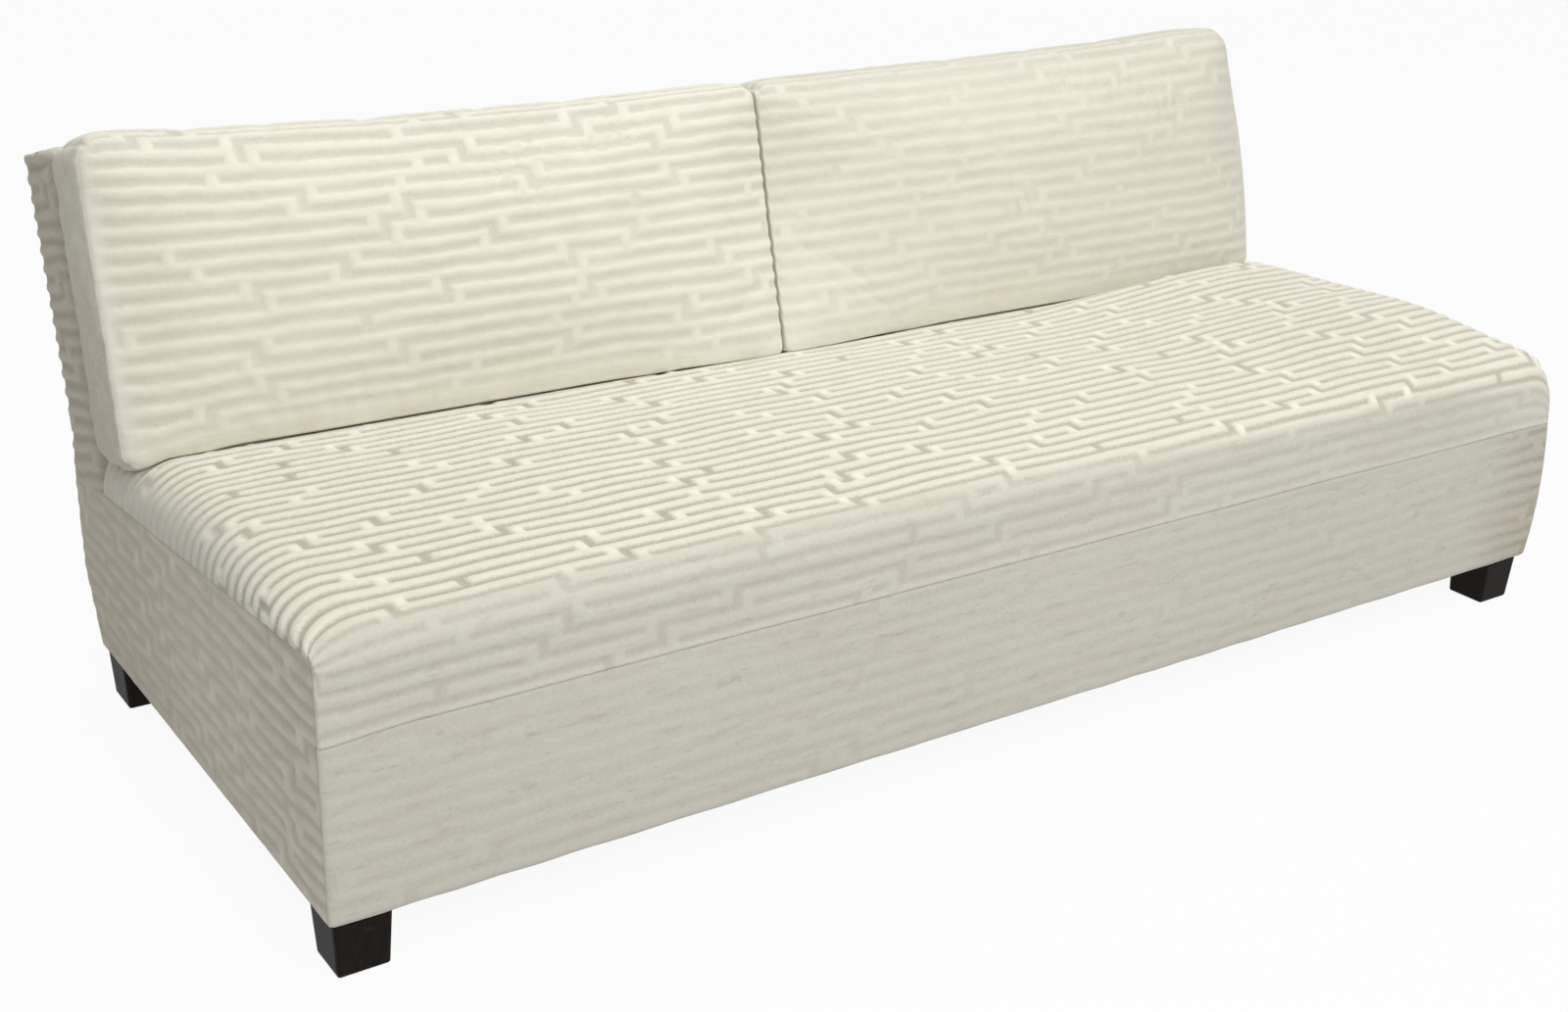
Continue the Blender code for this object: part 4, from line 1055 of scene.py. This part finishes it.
    # Painted shade: the plain boxing is painted darker and browner than the front, most of all low down.
    store(obj, "nap_and_painted_light", np.where(on_cloth, bright, 0.45 + 0.20 * smooth(across, 0.05, 0.35)))
    store(obj, "carve", np.where(on_cloth, np.clip(faint, 0.06, 0.5) * (0.3 + 0.7 * fade), 0.5))
    store(obj, "painted_shade", np.where(on_cloth, 0.0, 0.24 - 0.10 * smooth(across, 0.05, 0.35)))
    settle(obj, side + "_cushion", "ivory_velvet", [side + "_cushion_cover", side + "_cushion_core"])


def make_dust_cover():
    """Black cloth under the base, a little slack between the rails."""
    low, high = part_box("dust_cover")
    columns, rows = 140, 60
    obj, column, row = new_sheet("dust_cover_cloth", columns, rows)
    u, v = column / columns, row / rows
    x = low.x + (high.x - low.x) * u
    y = low.y + (high.y - low.y) * v
    edge = np.minimum(np.minimum(x - low.x, high.x - x), np.minimum(y - low.y, high.y - y))
    slack = smooth(edge, 0.03, 0.16)
    for name in LEGS:
        leg_low, leg_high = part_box(name)
        away_x = np.maximum(np.maximum(leg_low.x - x, x - leg_high.x), 0)
        away_y = np.maximum(np.maximum(leg_low.y - y, y - leg_high.y), 0)
        slack = slack * smooth(np.hypot(away_x, away_y), 0.0, 0.05)
    z = low.z + 0.0005 - slack * (0.005 + 0.0015 * swells(x, y, 0.25, 61))
    put_points(obj, np.stack([x, y - FRONT_Y, z], axis=1))
    settle(obj, "base", "dust_cloth", ["dust_cover"])


make_seat_top()
make_front_panel()
make_outside_back()
make_inside_back()
for hand, way in (("left", -1), ("right", 1)):
    make_end_panel(hand, way)
# How far each top edge stands up, at shares of the way from the middle of the sofa to the end
LEFT_TOP_LINE = ((0.0, 0.3, 0.6, 0.85, 1.0), (-0.005, -0.013, -0.013, -0.006, 0.006))
RIGHT_TOP_LINE = ((0.0, 0.4, 0.72, 0.86, 1.0), (-0.006, -0.001, 0.008, 0.017, 0.020))
make_cushion("left", -1, 71, LEFT_TOP_LINE, droop=0.014, lean=0.0)
make_cushion("right", 1, 83, RIGHT_TOP_LINE, droop=0.0, lean=0.012)
make_dust_cover()

# The solids keep their shape and take a finish by what they are
FINISH_BY_NAME = (
    ("leg_bolt", "zinc_steel"),
    ("slider", "zinc_steel"),
    ("clip", "zinc_steel"),
    ("seat_spring", "spring_steel"),
    ("_leg", "espresso_wood"),
    ("rail", "frame_wood"),
    ("post", "frame_wood"),
    ("corner_block", "frame_wood"),
    ("foam", "foam"),
    ("pad", "foam"),
    ("core", "cushion_fill"),
    ("zip", "zip_tape"),
    ("dust_cover", "dust_cloth"),
    ("spring_cloth", "lining_cloth"),
    ("support_cloth", "lining_cloth"),
    ("", "ivory_velvet"),
)
for name, node in NODES.items():
    slot = next(slot for word, slot in FINISH_BY_NAME if word in name)
    dress(node, FINISHES[slot])


# Stage, light and camera

# Share of plain white in the floor that the camera sees, and the light of the sky on the object
FLOOR_WHITE = 0.94
SKY_LIGHT = 0.41
CAMERA_AT = (-1.73657, FRONT_Y - 1.84720, 1.36740)
CAMERA_TURNS = (68.25638, -1.58442, -34.05342)
CAMERA_LENS = 45.598


def make_floor():
    bpy.ops.object.select_all(action="DESELECT")
    bpy.ops.mesh.primitive_plane_add(size=60)
    floor = bpy.context.object
    floor.name = "studio_floor"
    made, start = new_finish("pale_studio_floor")
    path = start.node("ShaderNodeLightPath", output="Is Camera Ray")
    gloss = start.node("ShaderNodeLightPath", output="Is Glossy Ray")
    through = start.node("ShaderNodeLightPath", output="Is Transmission Ray")
    lit = start.node("ShaderNodeBsdfDiffuse", {}, {"Color": (0.82, 0.82, 0.82, 1)})
    white = start.node("ShaderNodeEmission", {}, {"Color": (1, 1, 1, 1), "Strength": 1.0})
    seen = (path + gloss + through) * FLOOR_WHITE
    both = start.node("ShaderNodeMixShader", {}, {0: seen, 1: lit, 2: white})
    start.node("ShaderNodeOutputMaterial", {}, {"Surface": both})
    floor.data.materials.append(made)


def make_world():
    world = bpy.data.worlds.new("studio")
    bpy.context.scene.world = world
    world.use_nodes = True
    world.node_tree.nodes.clear()
    start = Wire(world.node_tree)
    seen = start.node("ShaderNodeLightPath", output="Is Camera Ray")
    level = seen * (1 - SKY_LIGHT) + SKY_LIGHT
    sky = start.node("ShaderNodeBackground", {}, {"Color": (1, 1, 1, 1), "Strength": level})
    start.node("ShaderNodeOutputWorld", {}, {"Surface": sky})


def add_panel_light(name, at, aim, size, watts):
    bpy.ops.object.select_all(action="DESELECT")
    bpy.ops.object.light_add(type="AREA", location=at)
    lamp = bpy.context.object
    lamp.name = name
    lamp.data.shape = "DISK"
    lamp.data.size = size
    lamp.data.energy = watts
    lamp.rotation_euler = (Vector(aim) - Vector(at)).to_track_quat("-Z", "Y").to_euler()


def make_camera():
    bpy.ops.object.select_all(action="DESELECT")
    bpy.ops.object.camera_add(location=CAMERA_AT)
    camera = bpy.context.object
    camera.name = "photo_angle"
    camera.rotation_euler = [math.radians(turn) for turn in CAMERA_TURNS]
    camera.data.sensor_width = 36.0
    camera.data.lens = CAMERA_LENS
    bpy.context.scene.camera = camera


make_floor()
make_world()
add_panel_light("key_panel", (-0.1, -3.0, 3.5), (0.0, 0.0, 0.4), 3.4, 90)
add_panel_light("top_panel", (0.0, 0.2, 3.6), (0.0, 0.0, 0.4), 2.6, 32)
make_camera()
bpy.context.scene.view_settings.view_transform = "Standard"
